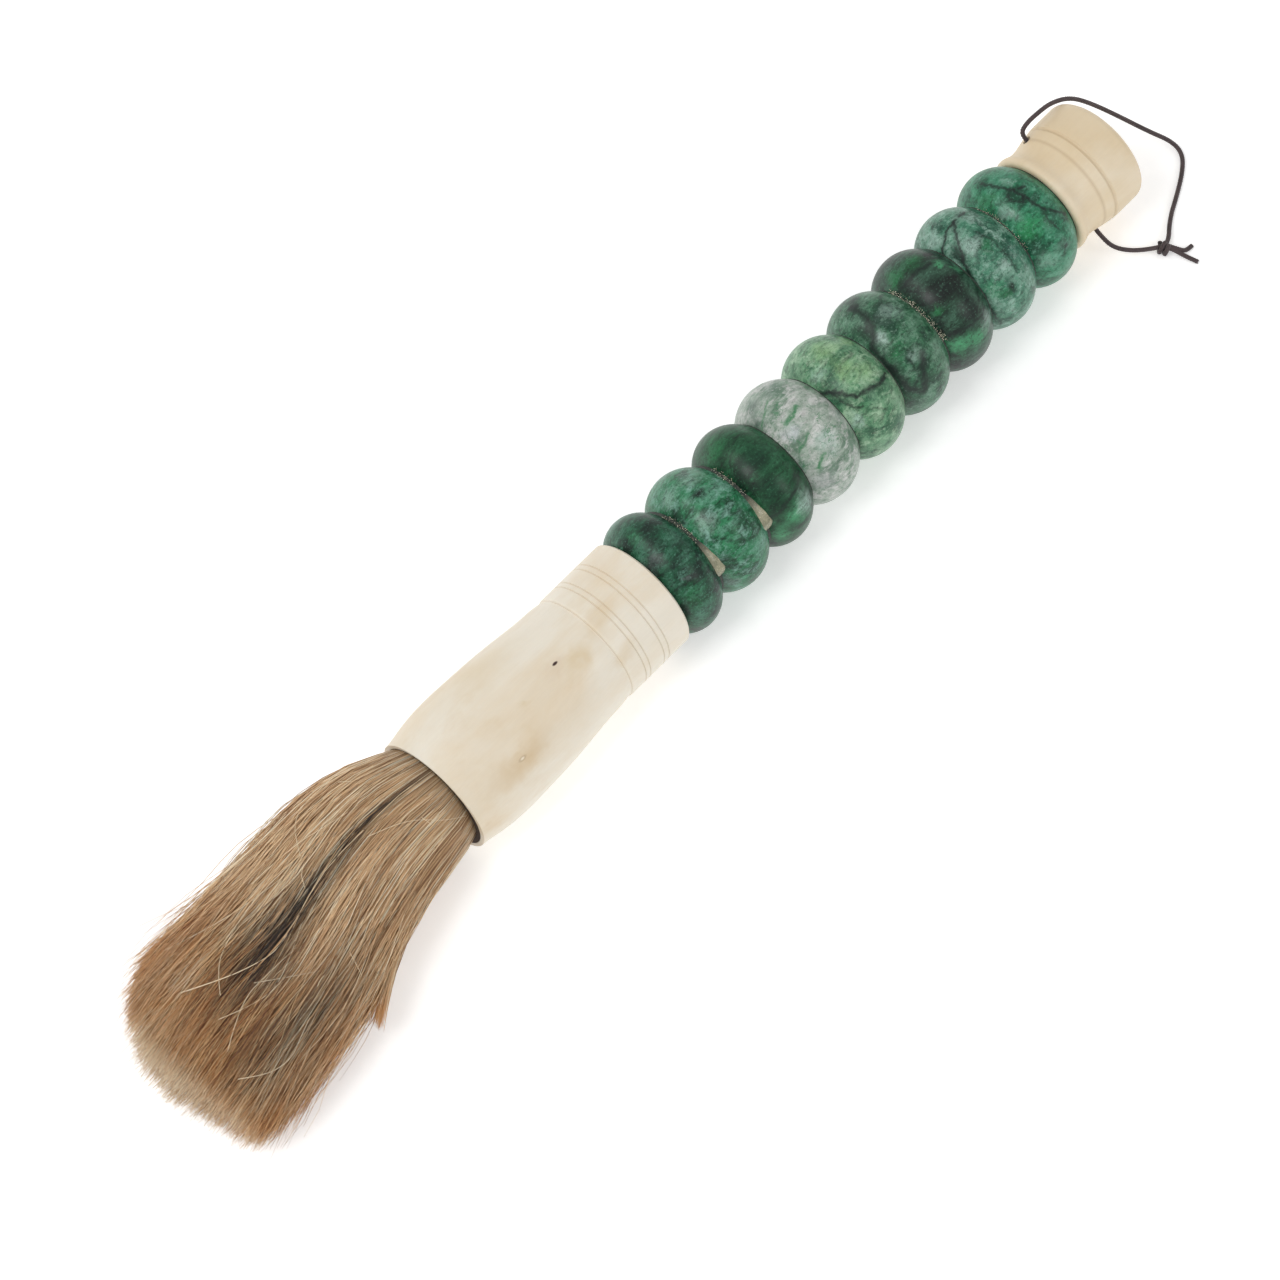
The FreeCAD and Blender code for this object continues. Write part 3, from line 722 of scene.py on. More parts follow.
STONES = {
    1: dict(deep=(18, 50, 38), mid=(34, 88, 62), pale=(92, 140, 120),
            pale_share=0.30, streak=0.5, vein_share=0.5,
            stains_and_highlights=[(-0.75, -2, 4.0, ASH, 0.45), (-0.3, 4, 3.5, INK, 0.6), (-0.4, 24, 3.5, JADE, 0.5),
                    (-0.35, -52, 5.0, MOSS, 0.6), (-0.2, -36, 1.6, ASH, 0.6),
                    (0.5, -10, 4.0, INK, 0.5)],
            veins=[(0.22, 0.7, [(-0.8, -38), (-0.3, -38), (0.7, -42)]),
                   (0.35, 0.5, [(-0.8, 40), (-0.3, 28), (0.05, 16), (0.65, 18)])]),
    2: dict(deep=(22, 76, 50), mid=(42, 118, 78), pale=(122, 166, 150),
            pale_share=0.5, streak=0.5, vein_share=0.4,
            stains_and_highlights=[(-0.1, 8, 2.6, INK, 0.8), (-1.0, 14, 3.0, INK, 0.7), (-0.6, 30, 4.0, MILK_AND_HIGHLIGHT, 0.35),
                    (0.15, 26, 4.5, MILK_AND_HIGHLIGHT, 0.40), (-0.6, -14, 4.5, MILK_AND_HIGHLIGHT, 0.35),
                    (0.4, -28, 3.0, INK, 0.6),
                    (-0.75, -54, 3.5, INK, 0.6), (-0.25, -40, 3.5, JADE, 0.5),
                    (-0.9, -80, 4.0, ASH, 0.6)],
            veins=[(0.3, 0.7, [(-1.0, 6), (-0.85, 4), (-0.55, 4)]),
                   (0.25, 0.6, [(-0.55, -32), (-0.25, -42), (0.35, -52), (0.7, -52)])]),
    3: dict(deep=(16, 52, 34), mid=(24, 76, 46), pale=(60, 116, 84),
            pale_share=0.10, streak=0.35, vein_share=0.2,
            stains_and_highlights=[(-0.5, 36, 5.5, MOSS, 0.65), (-0.1, -66, 6.0, JADE, 0.75),
                    (-0.75, -82, 5.0, JADE, 0.6),
                    (0.4, -62, 5.0, MILK_AND_HIGHLIGHT, 0.60), (-0.05, -4, 6.0, (20, 58, 40), 0.7),
                    (-0.4, -32, 6.0, (20, 58, 40), 0.7)],
            veins=[(0.45, 0.7, [(-0.9, -55), (-0.55, -54), (0.05, -47), (0.65, -42)])]),
    4: dict(deep=(108, 136, 116), mid=(152, 168, 154), pale=(188, 190, 186),
            pale_share=0.7, streak=0.6,
            contrast=0.5, vein_share=0.7, vein_tone=(44, 116, 70),
            # The whitish spots at (-0.65, -8) and (0.0, -36) are painted highlights of the two soft boxes.
            stains_and_highlights=[(-1.0, 28, 5.0, (58, 84, 72), 0.75), (-0.55, 42, 4.0, (70, 96, 84), 0.6),
                    (0.1, 36, 4.0, (84, 112, 98), 0.5),
                    (-0.65, -8, 3.5, (196, 200, 204), 0.6), (-0.7, -66, 5.0, (170, 172, 172), 0.6),
                    (0.0, -36, 4.5, MILK_AND_HIGHLIGHT, 0.5),
                    (0.85, -30, 3.0, (90, 124, 108), 0.6), (-0.95, -40, 3.0, (100, 130, 116), 0.5)],
            veins=[(0.35, 0.9, [(-0.55, 0), (-0.25, 0), (0.05, 4)]), (0.35, 0.9, [(-0.65, -50),
                   (-0.5, -44), (-0.35, -42)]),
                   (0.25, 0.6, [(-0.8, -26), (-0.55, -24), (-0.35, -20)]), (0.3, 0.6, [(-1.0, 20),
                   (-0.7, 24), (-0.3, 28)])]),
    5: dict(deep=(58, 112, 80), mid=(98, 146, 110), pale=(152, 182, 152),
            pale_share=0.55, streak=0.9, vein_share=0.35,
            stains_and_highlights=[(-0.95, -18, 4.0, (44, 92, 66), 0.8), (-0.9, 42, 5.0, (60, 112, 80), 0.6),
                    (-0.05, -2, 5.0, SAGE, 0.7),
                    (0.0, 26, 5.5, SAGE, 0.7), (-0.85, -46, 3.0, MILK_AND_HIGHLIGHT, 0.6),
                    (-0.95, -66, 4.0, (56, 108, 76), 0.6),
                    (-0.5, -34, 3.0, MOSS, 0.45), (0.3, -16, 4.0, SAGE, 0.6),
                    (-0.75, 14, 3.0, MILK_AND_HIGHLIGHT, 0.4),
                    (0.2, -60, 5.0, MOSS, 0.35), (0.7, 20, 3.0, SAGE, 0.6)],
            veins=[(0.42, 1.0, [(-1.0, 2), (-0.85, -6), (-0.7, -14), (-0.6, -20), (-0.45, -26),
                   (0.0, -28), (0.4, -32), (0.8, -30)]),
                   (0.3, 0.8, [(-0.85, -6), (-0.8, -22), (-0.7, -32), (-0.5, -36)]),
                   (0.22, 0.5, [(-0.3, 0), (0.05, 4), (0.45, 4)]),
                   (0.2, 0.5, [(-0.85, -48), (-0.6, -42), (-0.25, -44), (0.05, -52)])]),
    6: dict(deep=(34, 76, 56), mid=(60, 110, 80), pale=(128, 162, 142),
            pale_share=0.40, streak=0.9, vein_share=0.6,
            # The milky spots at (-0.55, -4) and (-0.15, -34) are painted highlights of the two soft boxes.
            stains_and_highlights=[(-0.95, -20, 2.6, INK, 0.9), (-0.95, -36, 3.0, INK, 0.9),
                    (-0.95, -52, 2.6, INK, 0.8),
                    (-0.15, 40, 4.0, INK, 0.7), (-0.55, -4, 2.8, MILK_AND_HIGHLIGHT, 0.9),
                    (-0.15, -34, 3.0, MILK_AND_HIGHLIGHT, 0.6),
                    (-0.8, -84, 4.5, INK, 0.6), (-0.55, -22, 3.5, MOSS, 0.6),
                    (0.2, 8, 4.5, MILK_AND_HIGHLIGHT, 0.35), (-0.75, 16, 3.5, INK, 0.55)],
            veins=[(0.75, 0.9, [(-0.25, 40), (-0.3, 24), (-0.45, 12), (-0.65, 4), (-0.9, -4),
                   (-0.95, -16), (-0.95, -34)]),
                   (0.70, 0.85, [(-0.95, -34), (-0.85, -60), (-0.5, -72), (-0.35, -60),
                   (-0.25, -48), (0.0, -38)]),
                   (0.25, 0.5, [(-0.45, -32), (-0.45, -46), (-0.45, -58)]), (0.25, 0.4, [(-0.2, 12),
                   (0.1, 0), (0.5, 0)])]),
    7: dict(deep=(26, 36, 32), mid=(32, 62, 46), pale=(84, 126, 104),
            pale_share=0.25, streak=0.22, vein_share=0.5,
            stains_and_highlights=[(-0.65, -8, 4.0, INK, 0.9), (-0.2, -6, 4.5, INK, 0.9),
                    (0.1, -38, 4.5, INK, 0.9), (-0.9, -32, 3.0, INK, 0.8),
                    (-0.65, 10, 3.0, INK, 0.7), (-0.70, -22, 2.6, MOSS, 0.9),
                    (-0.7, 34, 4.5, MOSS, 0.8), (0.0, 30, 4.5, MOSS, 0.7),
                    (-0.15, 52, 3.5, INK, 0.8), (0.5, 8, 2.6, JADE, 0.8), (0.8, -6, 2.4, JADE, 0.7),
                    (-0.7, -64, 5.0, JADE, 0.8),
                    (-0.1, -66, 5.0, JADE, 0.8), (0.5, -62, 4.0, MILK_AND_HIGHLIGHT, 0.35),
                    (0.3, -18, 4.0, INK, 0.85)],
            veins=[(0.4, 0.9, [(-1.0, 24), (-0.65, 18), (-0.1, 14), (0.3, 12)]),
                   (0.35, 0.9, [(-0.85, -48), (-0.45, -50), (0.05, -52), (0.55, -52)]),
                   (0.3, 0.7, [(0.2, 20), (0.6, 16), (0.85, 4)])]),
    8: dict(deep=(40, 96, 74), mid=(74, 130, 104), pale=(140, 174, 158),
            pale_share=0.55, streak=1.0, vein_share=0.6,
            # The milky spots at (-0.4, 0) and (-0.1, -36) are painted highlights of the two soft boxes.
            stains_and_highlights=[(-0.85, 10, 3.0, INK, 0.75), (-0.95, -16, 2.6, INK, 0.7),
                    (-0.9, 0, 2.6, INK, 0.7), (-0.8, 40, 4.0, MILK_AND_HIGHLIGHT, 0.5),
                    (-0.4, 0, 3.5, MILK_AND_HIGHLIGHT, 0.6), (-0.75, -46, 4.0, JADE, 0.4),
                    (-0.3, -54, 2.4, INK, 0.75), (-0.2, -10, 3.0, MOSS, 0.55),
                    (-0.1, -36, 3.0, MILK_AND_HIGHLIGHT, 0.55), (-0.55, -56, 2.6, MOSS, 0.6),
                    (0.4, 18, 3.0, MILK_AND_HIGHLIGHT, 0.5), (0.5, -30, 4.0, (64, 112, 96), 0.5)],
            veins=[(0.35, 1.0, [(-1.0, 20), (-0.75, 24), (-0.45, 26), (-0.15, 26), (0.45, 28)]),
                   (0.32, 0.95, [(-0.1, 26), (-0.45, 14), (-0.65, 6), (-0.9, -8), (-1.0, -24)]),
                   (0.30, 0.8, [(-1.0, -24), (-1.0, -46), (-0.98, -74), (-0.8, -98)]),
                   (0.22, 0.6, [(0.0, 4), (0.15, -10), (0.2, -32), (0.1, -46)]),
                   (0.22, 0.5, [(-0.7, -34), (-0.3, -30), (0.1, -32)])]),
    9: dict(deep=(26, 88, 62), mid=(48, 124, 90), pale=(108, 164, 140),
            pale_share=0.35, streak=0.8, vein_share=0.5,
            stains_and_highlights=[(0.2, 4, 2.0, INK, 0.9), (0.1, -10, 2.4, INK, 0.6), (-0.35, 6, 2.0, INK, 0.4),
                    (-0.8, 26, 4.0, MOSS, 0.6),
                    (-0.6, -26, 5.0, (44, 140, 84), 0.7), (-0.75, 0, 3.5, MILK_AND_HIGHLIGHT, 0.40),
                    (0.25, -32, 3.0, (38, 74, 60), 0.6),
                    (-0.6, -66, 4.5, MILK_AND_HIGHLIGHT, 0.30), (-0.75, 54, 3.5, (34, 70, 56), 0.7),
                    (0.05, 18, 2.6, MILK_AND_HIGHLIGHT, 0.5), (0.05, -60, 3.5, ASH, 0.5)],
            veins=[(0.38, 0.9, [(-0.35, 40), (-0.3, 24), (-0.15, 12), (-0.05, 2), (0.0, -10),
                   (0.1, -22), (0.45, -32), (0.75, -42)]),
                   (0.28, 0.8, [(-0.3, 8), (-0.4, 2), (-0.2, -6), (0.0, -2)]),
                   (0.3, 0.8, [(-0.05, 6), (0.3, 2)]),
                   (0.25, 0.7, [(0.1, -22), (0.0, -32), (0.15, -46)])]),
}
for number, recipe in STONES.items():
    dress(f"bead_{number}", stone(number, **recipe))
print("stones", len(STONES))

# %% [markdown]
# ## Wood, resin, thread and hair root
# These pieces sit inside the ferrule, the beads and the cap. They show at most in a gap, but
# each is dressed as what it is, so that the brush can be taken apart.

# %% Inner parts
plug_wood = grained("plug_wood", 0.7, (0.08, 1, 1), (700.0, 4.0, 0.6, 1.2),
                    [(0.3, (150, 112, 72)), (0.7, (196, 160, 112))], (0.3, 0.0001))
rod_wood = grained("rod_wood", 0.65, (0.05, 1, 1), (1100.0, 4.0, 0.6, 0.8),
                   [(0.3, (176, 140, 92)), (0.7, (212, 182, 136))], (0.3, 0.0001))
resin = grained("root_resin", 0.3, EVEN, (300.0, 4.0, 0.6, 0.6),
                [(0.35, (92, 52, 20)), (0.7, (150, 94, 40))], coat=0.4)
root_hair = grained("root_hair", 0.8, (0.03, 1, 1), (2600.0, 3.0, 0.6),
                    [(0.35, (34, 24, 18)), (0.7, (78, 58, 42))], (0.6, 0.0002))
root_thread = grained("binding_thread", 0.75, EVEN, (2400.0, 3.0),
                      [(0.3, (180, 160, 128)), (0.7, (222, 208, 182))], (0.5, 0.0001), sheen=0.2)
for node_name, finish in (("ferrule_plug", plug_wood), ("cap_plug", plug_wood), ("core_rod", rod_wood),
                          ("root_resin", resin), ("hair_root", root_hair), ("root_binding", root_thread)):
    dress(node_name, finish)
print("inner parts dressed")

# %% [markdown]
# ## Cement
# The beads are held by a set cement, mixed with bright grit. Where two rounded rims leave a
# groove, some has oozed out: in the first two seams between beads it fills the groove on the
# front side with a smooth beige wedge, and in other seams only a line of grit can be seen.
# The wedge is a strip swept round the seam whose height grows and dies away; the grit is a
# row of small cut crystals.

# %% Cement finish
cement = Finish("cement", roughness=0.38, coat=0.3)
cement_cloud = cement.noise(cement.place(), 520.0, 5.0, 0.65)
cement_grit = cement.noise(cement.place(), 4200.0, 2.0, 0.5)
cement_colour = cement.ramp(cement_cloud, [(0.3, tone(112, 112, 88)), (0.7, tone(164, 160, 132))])
pale_grains = cement.ramp(cement_grit, [(0.62, 0.0), (0.70, 0.8)])
cement_colour = cement.mix(pale_grains, cement_colour, tone(226, 214, 176))
dark_grains = cement.ramp(cement_grit, [(0.28, 0.7), (0.36, 0.0)])
cement_colour = cement.mix(dark_grains, cement_colour, tone(60, 58, 44))
down_the_side = cement.sums("SUBTRACT", axis_y - 0.0048, cement.split(cement.place())["Y"])
pale_end = cement.sums("DIVIDE", down_the_side, 0.0040, clamp=True)
cement.colour(cement.mix(pale_end, tone(44, 48, 40), cement_colour))
cement.bump(cement_grit, 0.4, 0.0001)
dark_cement = grained("dark_cement", 0.6, EVEN, (900.0, 4.0, 0.6),
                      [(0.3, (24, 32, 28)), (0.7, (58, 66, 56))], (0.4, 0.0001))
seam_count = len(STONES) + 1
for seam in range(1, seam_count + 1):
    dress(f"cement_{seam}", dark_cement)
print("seams dressed", seam_count)

# %% Cement wedges
def bead_rim_gap(radius, seam):
    """How far the rims of the two beads beside a seam stand off from it at a radius."""
    reaches = []
    for number in (seam - 1, seam):
        centre_x, half_width, rim, arc = bead_shape(number)
        reaches.append(half_width - math.sqrt(max(0.0, arc ** 2 - (radius - rim + arc) ** 2)))
    return reaches


def cement_wedge(seam, start_turn, end_turn, height):
    """A strip of cement that fills the groove beside a seam and stands a little hollow."""
    low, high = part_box(f"cement_{seam}")
    steps, across = 56, 9
    foot, sink, corner_gap = 0.0124, 0.00012, 0.00002
    rows = []
    for i in range(steps + 1):
        share = i / steps
        swell = min(share / 0.82, math.sqrt(max(0.0, (1 - share) / 0.18)))
        top = 0.0127 + height * swell * (1 + 0.04 * math.sin(23 * share))
        left, right = bead_rim_gap(top, seam)
        angle = math.radians(start_turn + (end_turn - start_turn) * share)
        out = Vector((0, math.sin(angle), math.cos(angle)))
        centre = Vector((0, axis_y, axis_z))
        row = [centre + out * foot + Vector((low.x + corner_gap, 0, 0))]
        for j in range(across):
            t = j / (across - 1)
            x = (low.x - left - sink) * (1 - t) + (high.x + right + sink) * t
            dip = 0.00022 * math.sin(math.pi * t) * swell
            row.append(centre + out * (top - dip) + Vector((x, 0, 0)))
        row.append(centre + out * foot + Vector((high.x - corner_gap, 0, 0)))
        rows.append(row)
    width = len(rows[0])
    vertices = [tuple(v) for row in rows for v in row]
    faces = [(i * width + j, (i + 1) * width + j,
              (i + 1) * width + (j + 1) % width, i * width + (j + 1) % width)
             for i in range(steps) for j in range(width)]
    faces.append(tuple(range(width)))
    faces.append(tuple(reversed(range(steps * width, (steps + 1) * width))))
    mesh = bpy.data.meshes.new(f"cement_wedge_{seam}")
    mesh.from_pydata(vertices, [], faces)
    mesh.polygons.foreach_set("use_smooth", [True] * len(mesh.polygons))
    mesh.materials.append(cement.material)
    wedge = put(f"cement_wedge_{seam}", mesh)
    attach(wedge, "handle")
    return wedge


for seam in (2, 3):
    wedge = cement_wedge(seam, -8.0, -70.0, 0.0016)
    print(wedge.name, [round(d, 4) for d in wedge.dimensions])

# %% Grit
grit_metal = Finish("bright_grit", roughness=0.25)
grit_metal.shader.inputs["Metallic"].default_value = 0.2
grit_cloud = grit_metal.noise(grit_metal.place(), 2600.0, 2.0)
grit_metal.colour(grit_metal.ramp(grit_cloud, [(0.35, tone(186, 180, 152)), (0.6, tone(236, 230, 208)),
                                               (0.8, tone(250, 248, 240))]))


def grit_line(seam, start_turn, end_turn, count, lift, size, seed):
    """A row of small cut crystals along a seam, as one mesh."""
    low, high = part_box(f"cement_{seam}")
    dice = np.random.default_rng(seed)
    innermost = 0.0129
    base = np.array([(1, 0, 0), (-1, 0, 0), (0, 1, 0), (0, -1, 0), (0, 0, 1), (0, 0, -1)], float)
    corners = [(0, 2, 4), (2, 1, 4), (1, 3, 4), (3, 0, 4), (2, 0, 5), (1, 2, 5), (3, 1, 5), (0, 3, 5)]
    vertices, faces = [], []
    for k in range(count):
        angle = math.radians(start_turn + (end_turn - start_turn) * dice.random())
        radius = innermost + lift * dice.random()
        spread = (high.x - low.x) / 2 + 0.0006 * (radius - innermost) / 0.001
        x = (low.x + high.x) / 2 + (dice.random() - 0.5) * 2 * spread
        centre = np.array([x, axis_y + radius * math.sin(angle), axis_z + radius * math.cos(angle)])
        stretch = size * (0.5 + dice.random(3))
        turn, _ = np.linalg.qr(dice.normal(size=(3, 3)))
        vertices += [tuple(centre + turn @ (corner * stretch)) for corner in base]
        faces += [tuple(6 * k + c for c in corner) for corner in corners]
    mesh = bpy.data.meshes.new(f"grit_{seam}")
    mesh.from_pydata(vertices, [], faces)
    mesh.materials.append(grit_metal.material)
    grit = put(f"grit_{seam}", mesh)
    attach(grit, "handle")
    return grit


for seam, start, end, count, lift, size in (
        (2, 30, -20, 80, 0.0008, 0.00010), (3, 28, -20, 80, 0.0008, 0.00010),
        (7, 34, -52, 260, 0.0013, 0.00010), (9, 34, -44, 160, 0.0010, 0.00008)):
    grit = grit_line(seam, start, end, count, lift, size, 40 + seam)
    print(grit.name, len(grit.data.polygons))

# %% [markdown]
# ## Hair
# The tuft is a bundle of several thousand goat hairs that leaves the ferrule as a round
# bunch and flattens into a fan with a blunt, slightly slanted end. Blender's hair system
# makes such hair quickly, but it lives only in Blender. Here every hair is a thin tapered
# tube of three sides in an ordinary mesh, so it stays hair in any program. The hairs gather
# in locks, wave a little, and stand round a solid underlay that keeps the light from shining
# through the bundle.

# %% Shape of the bundle
shares = np.array([0.0, 0.10, 0.25, 0.45, 0.65, 0.82, 0.92, 1.0])
half_widths = np.array([14.0, 17.2, 19.8, 21.9, 23.6, 25.3, 25.7, 25.4]) / 1000
half_heights = np.array([13.9, 14.9, 15.0, 14.0, 12.6, 10.8, 9.2, 7.0]) / 1000
sideways = np.array([0.5, 2.1, 2.8, -0.3, -2.2, -3.5, -4.1, -4.6]) / 1000
middle_heights = np.array([17.2, 16.5, 15.5, 14.2, 12.9, 11.3, 9.9, 8.4]) / 1000
end_places = np.array([-1.05, -0.97, -0.85, -0.60, -0.30, 0.0, 0.30, 0.55, 0.70, 0.85, 0.95, 1.05])
end_shares = np.array([0.830, 0.885, 0.925, 0.935, 0.945, 0.965, 0.962, 0.945, 0.925, 0.875, 0.835, 0.790])
smooth_shapes = [np.polyfit(shares, values, 6)
                 for values in (half_widths, half_heights, sideways, middle_heights)]
root_share = -0.03


def bundle(share, across, upward):
    """A point of the bundle: share of the length, and a place in the unit disc across it."""
    width, height, shift, level = (np.polyval(fit, share) for fit in smooth_shapes)
    x = mouth_x - share * hair_length
    y = axis_y + shift + across * width
    z = level + upward * height
    return np.stack([x, y, z], axis=-1)


print("fan width at 0.8", round(2 * float(np.polyval(smooth_shapes[0], 0.8)), 4))

# %% Underlay
def underlay_body():
    """A closed body under the hairs, a little smaller and shorter than the bundle."""
    rings_count, around = 40, 96
    vertices = []
    for i in range(rings_count):
        t = i / (rings_count - 1)
        for j in range(around):
            turn = 2 * math.pi * j / around
            across, upward = math.cos(turn), math.sin(turn)
            end = float(np.interp(across, end_places, end_shares)) * 0.93
            share = root_share + t * (end - root_share)
            close = 0.90 * (1 - 0.55 * max(0.0, (t - 0.80) / 0.20) ** 2)
            ripple = 1 + 0.018 * math.sin(23 * turn + 3 * t) + 0.012 * math.sin(41 * turn - 5 * t)
            point = bundle(np.array(share), np.array(across * 0.92), np.array(upward * close * ripple))
            point[2] = max(point[2], 0.0004)
            vertices.append(tuple(point))
    faces = [(i * around + j, i * around + (j + 1) % around,
              (i + 1) * around + (j + 1) % around, (i + 1) * around + j)
             for i in range(rings_count - 1) for j in range(around)]
    faces.append(tuple(reversed(range(around))))
    faces.append(tuple(range((rings_count - 1) * around, rings_count * around)))
    mesh = bpy.data.meshes.new("hair_underlay")
    mesh.from_pydata(vertices, [], faces)
    mesh.polygons.foreach_set("use_smooth", [True] * len(mesh.polygons))
    return put("hair_underlay", mesh)


underlay = underlay_body()
# Painted shade: the underlay is a darker brown than the hairs, so the gaps between the hairs look shaded.
under_hair_painted_shade = grained("under_hair_painted_shade", 0.8, (0.04, 1, 1), (2200.0, 4.0, 0.65),
                     [(0.30, (76, 56, 40)), (0.55, (136, 106, 78)), (0.8, (176, 142, 108))],
                     (0.8, 0.0003))
underlay.data.materials.append(under_hair_painted_shade.material)
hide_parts("cover_hair", "core_hair")
print("underlay faces", len(underlay.data.polygons))

# %% How a hair runs
def locks(count, dice):
    """Where the locks stand in the bundle, and four numbers for each lock's mood."""
    near_skin = dice.random(count) < 0.6
    radius = np.where(near_skin, 0.86 + 0.15 * dice.random(count), np.sqrt(dice.random(count)))
    turn = 2 * np.pi * dice.random(count)
    return np.stack([radius * np.cos(turn), radius * np.sin(turn)], axis=1), dice.normal(size=(count, 4))


def hair_paths(count, points, dice, places, moods, gather, wave, cross, reach, lift):
    """Hairs that start in the mouth, gather into locks and end near the trimmed outline."""
    lock = dice.integers(len(places), size=count)
    own = places[lock] + dice.normal(scale=0.085, size=(count, 2))
    size = np.linalg.norm(own, axis=1)
    own *= (np.minimum(size, 1.02) / size)[:, None]
    drift = dice.normal(scale=cross, size=(count, 2))
    end = np.interp(own[:, 0] + drift[:, 0] * 0.5, end_places, end_shares)
    end = end * (reach[0] + (reach[1] - reach[0]) * dice.random(count) ** 0.7)
    t = np.linspace(0, 1, points)[None, :]
    share = root_share + t * (end[:, None] - root_share)
    pull = gather * np.clip(share, 0, 1) ** 1.3
    across = own[:, :1] * (1 - pull) + places[lock][:, :1] * pull
    upward = own[:, 1:] * (1 - pull) + places[lock][:, 1:] * pull
    steady = np.clip(share / 0.25, 0, 1)
    across = across + drift[:, :1] * np.clip(share, 0, 1) ** 1.2
    upward = upward + drift[:, 1:] * 0.4 * np.clip(share, 0, 1)
    phase, speed = moods[lock][:, 0:1], 1.3 + 0.5 * np.tanh(moods[lock][:, 1:2])
    own_phase, own_speed = dice.random((count, 1)), 1.4 + 2.2 * dice.random((count, 1))
    lock_wave = 0.6 * np.sin(2 * np.pi * (speed * share + phase))
    own_wave = 0.55 * np.sin(2 * np.pi * (own_speed * share + own_phase))
    swing = wave * (lock_wave + own_wave)
    lines = bundle(share, across, upward * (1 + lift))
    lines[..., 1] += swing * steady * (0.3 + share)
    lines[..., 2] += 0.5 * swing * steady * np.cos(7 * own_phase)
    lines[..., 2] = np.maximum(lines[..., 2], 0.00025)
    return lines, share, lock


def darkness(lines, share):
    """The dark core hair: a streak down the middle, and a weaker patch on the front side."""
    slant_y, slant_z = 0.952, 0.306
    sight = slant_y * (lines[..., 1] - axis_y) + slant_z * (lines[..., 2] - axis_z)
    centre = np.interp(share, [0, 0.2, 0.45, 0.7, 1.0], [0.0050, 0.0068, 0.0040, 0.0010, -0.002])
    spread = np.interp(share, [0, 0.15, 0.45, 0.62, 0.8, 1.0],
                       [0.0006, 0.0009, 0.0032, 0.0074, 0.0070, 0.004])
    window = np.interp(share, [0, 0.06, 0.2, 0.66, 0.78, 0.86], [0.3, 0.8, 1.0, 1.0, 0.45, 0.0])
    streak = window * np.exp(-((sight - centre) / spread) ** 2)
    low_window = np.interp(share, [0.40, 0.60, 0.82, 0.92], [0.0, 0.62, 0.62, 0.0])
    return np.maximum(streak, low_window * np.exp(-((sight + 0.0150) / 0.0065) ** 2))


print("hair rules ready")

# %% Hairs
dice = np.random.default_rng(11)
places, moods = locks(520, dice)
hair_points, hair_sides = 13, 3
hair_pieces = []
for name, count, thickness, gather, wave, cross, reach, lift in (
        ("hair_a", 2400, 0.00017, 0.50, 0.0008, 0.045, (0.93, 1.01), 0.00),
        ("hair_b", 2400, 0.00015, 0.42, 0.0010, 0.060, (0.92, 1.02), 0.01),
        ("hair_c", 2400, 0.00013, 0.36, 0.0012, 0.080, (0.90, 1.03), 0.02),
        ("hair_d", 2400, 0.00012, 0.28, 0.0015, 0.120, (0.86, 1.035), 0.03),
        ("hair_e", 2000, 0.00010, 0.20, 0.0020, 0.170, (0.62, 1.00), 0.04)):
    lines, share, lock = hair_paths(count, hair_points, dice, places, moods,
                                    gather, wave, cross, reach, lift)
    t = np.linspace(0, 1, hair_points)[None, :]
    radii = thickness * (1 - 0.72 * t ** 3) * (0.75 + 0.5 * dice.random((count, 1)))
    shade = 0.5 + 0.12 * moods[lock][:, 2:3] + 0.24 * dice.normal(size=(count, 1))
    shade = np.clip(shade, 0, 1) + 0 * t
    dark = darkness(lines, share) * (0.55 + 0.75 * dice.random((count, 1)))
    dark = np.clip(dark * (dice.random((count, 1)) < 0.82), 0, 1)
    piece = tube_mesh(name, lines, radii, hair_sides,
                      {"shade": shade, "along": np.clip(share, 0, 1) + 0 * shade, "dark": dark})
    hair_pieces.append(piece)
    print(name, len(piece.data.polygons))

# %% Side wisp and stray hairs
wisp_count = 420
t = np.linspace(0, 1, hair_points)[None, :]
wisp_end = 0.52 - 0.12 * dice.random((wisp_count, 1)) ** 2
wisp_share = -0.02 + t * (wisp_end + 0.02)
wisp_turn = np.radians(176 + 26 * dice.random((wisp_count, 1)))
wisp_flare = 0.05 + 0.27 * dice.random((wisp_count, 1)) ** 0.7
wisp_out = (0.97 + wisp_flare * np.clip(wisp_share / 0.5, 0, 1.1) ** 3
            + 0.010 * dice.normal(size=(wisp_count, 1)))
wisp_lines = bundle(wisp_share, np.cos(wisp_turn) * wisp_out, np.sin(wisp_turn) * wisp_out)
wisp_lines[..., 2] = np.maximum(wisp_lines[..., 2], 0.0004)
wisp_shade = np.clip(0.62 + 0.16 * dice.normal(size=(wisp_count, 1)), 0, 1) + 0 * wisp_share
wisp_along = wisp_share + 0.35 * (wisp_share / 0.55) ** 6
wisp = tube_mesh("hair_wisp", wisp_lines, 0.00014 * (1 - 0.75 * t ** 3) + 0 * wisp_share, hair_sides,
                 {"shade": wisp_shade, "along": wisp_along, "dark": 0 * wisp_share})
hair_pieces.append(wisp)

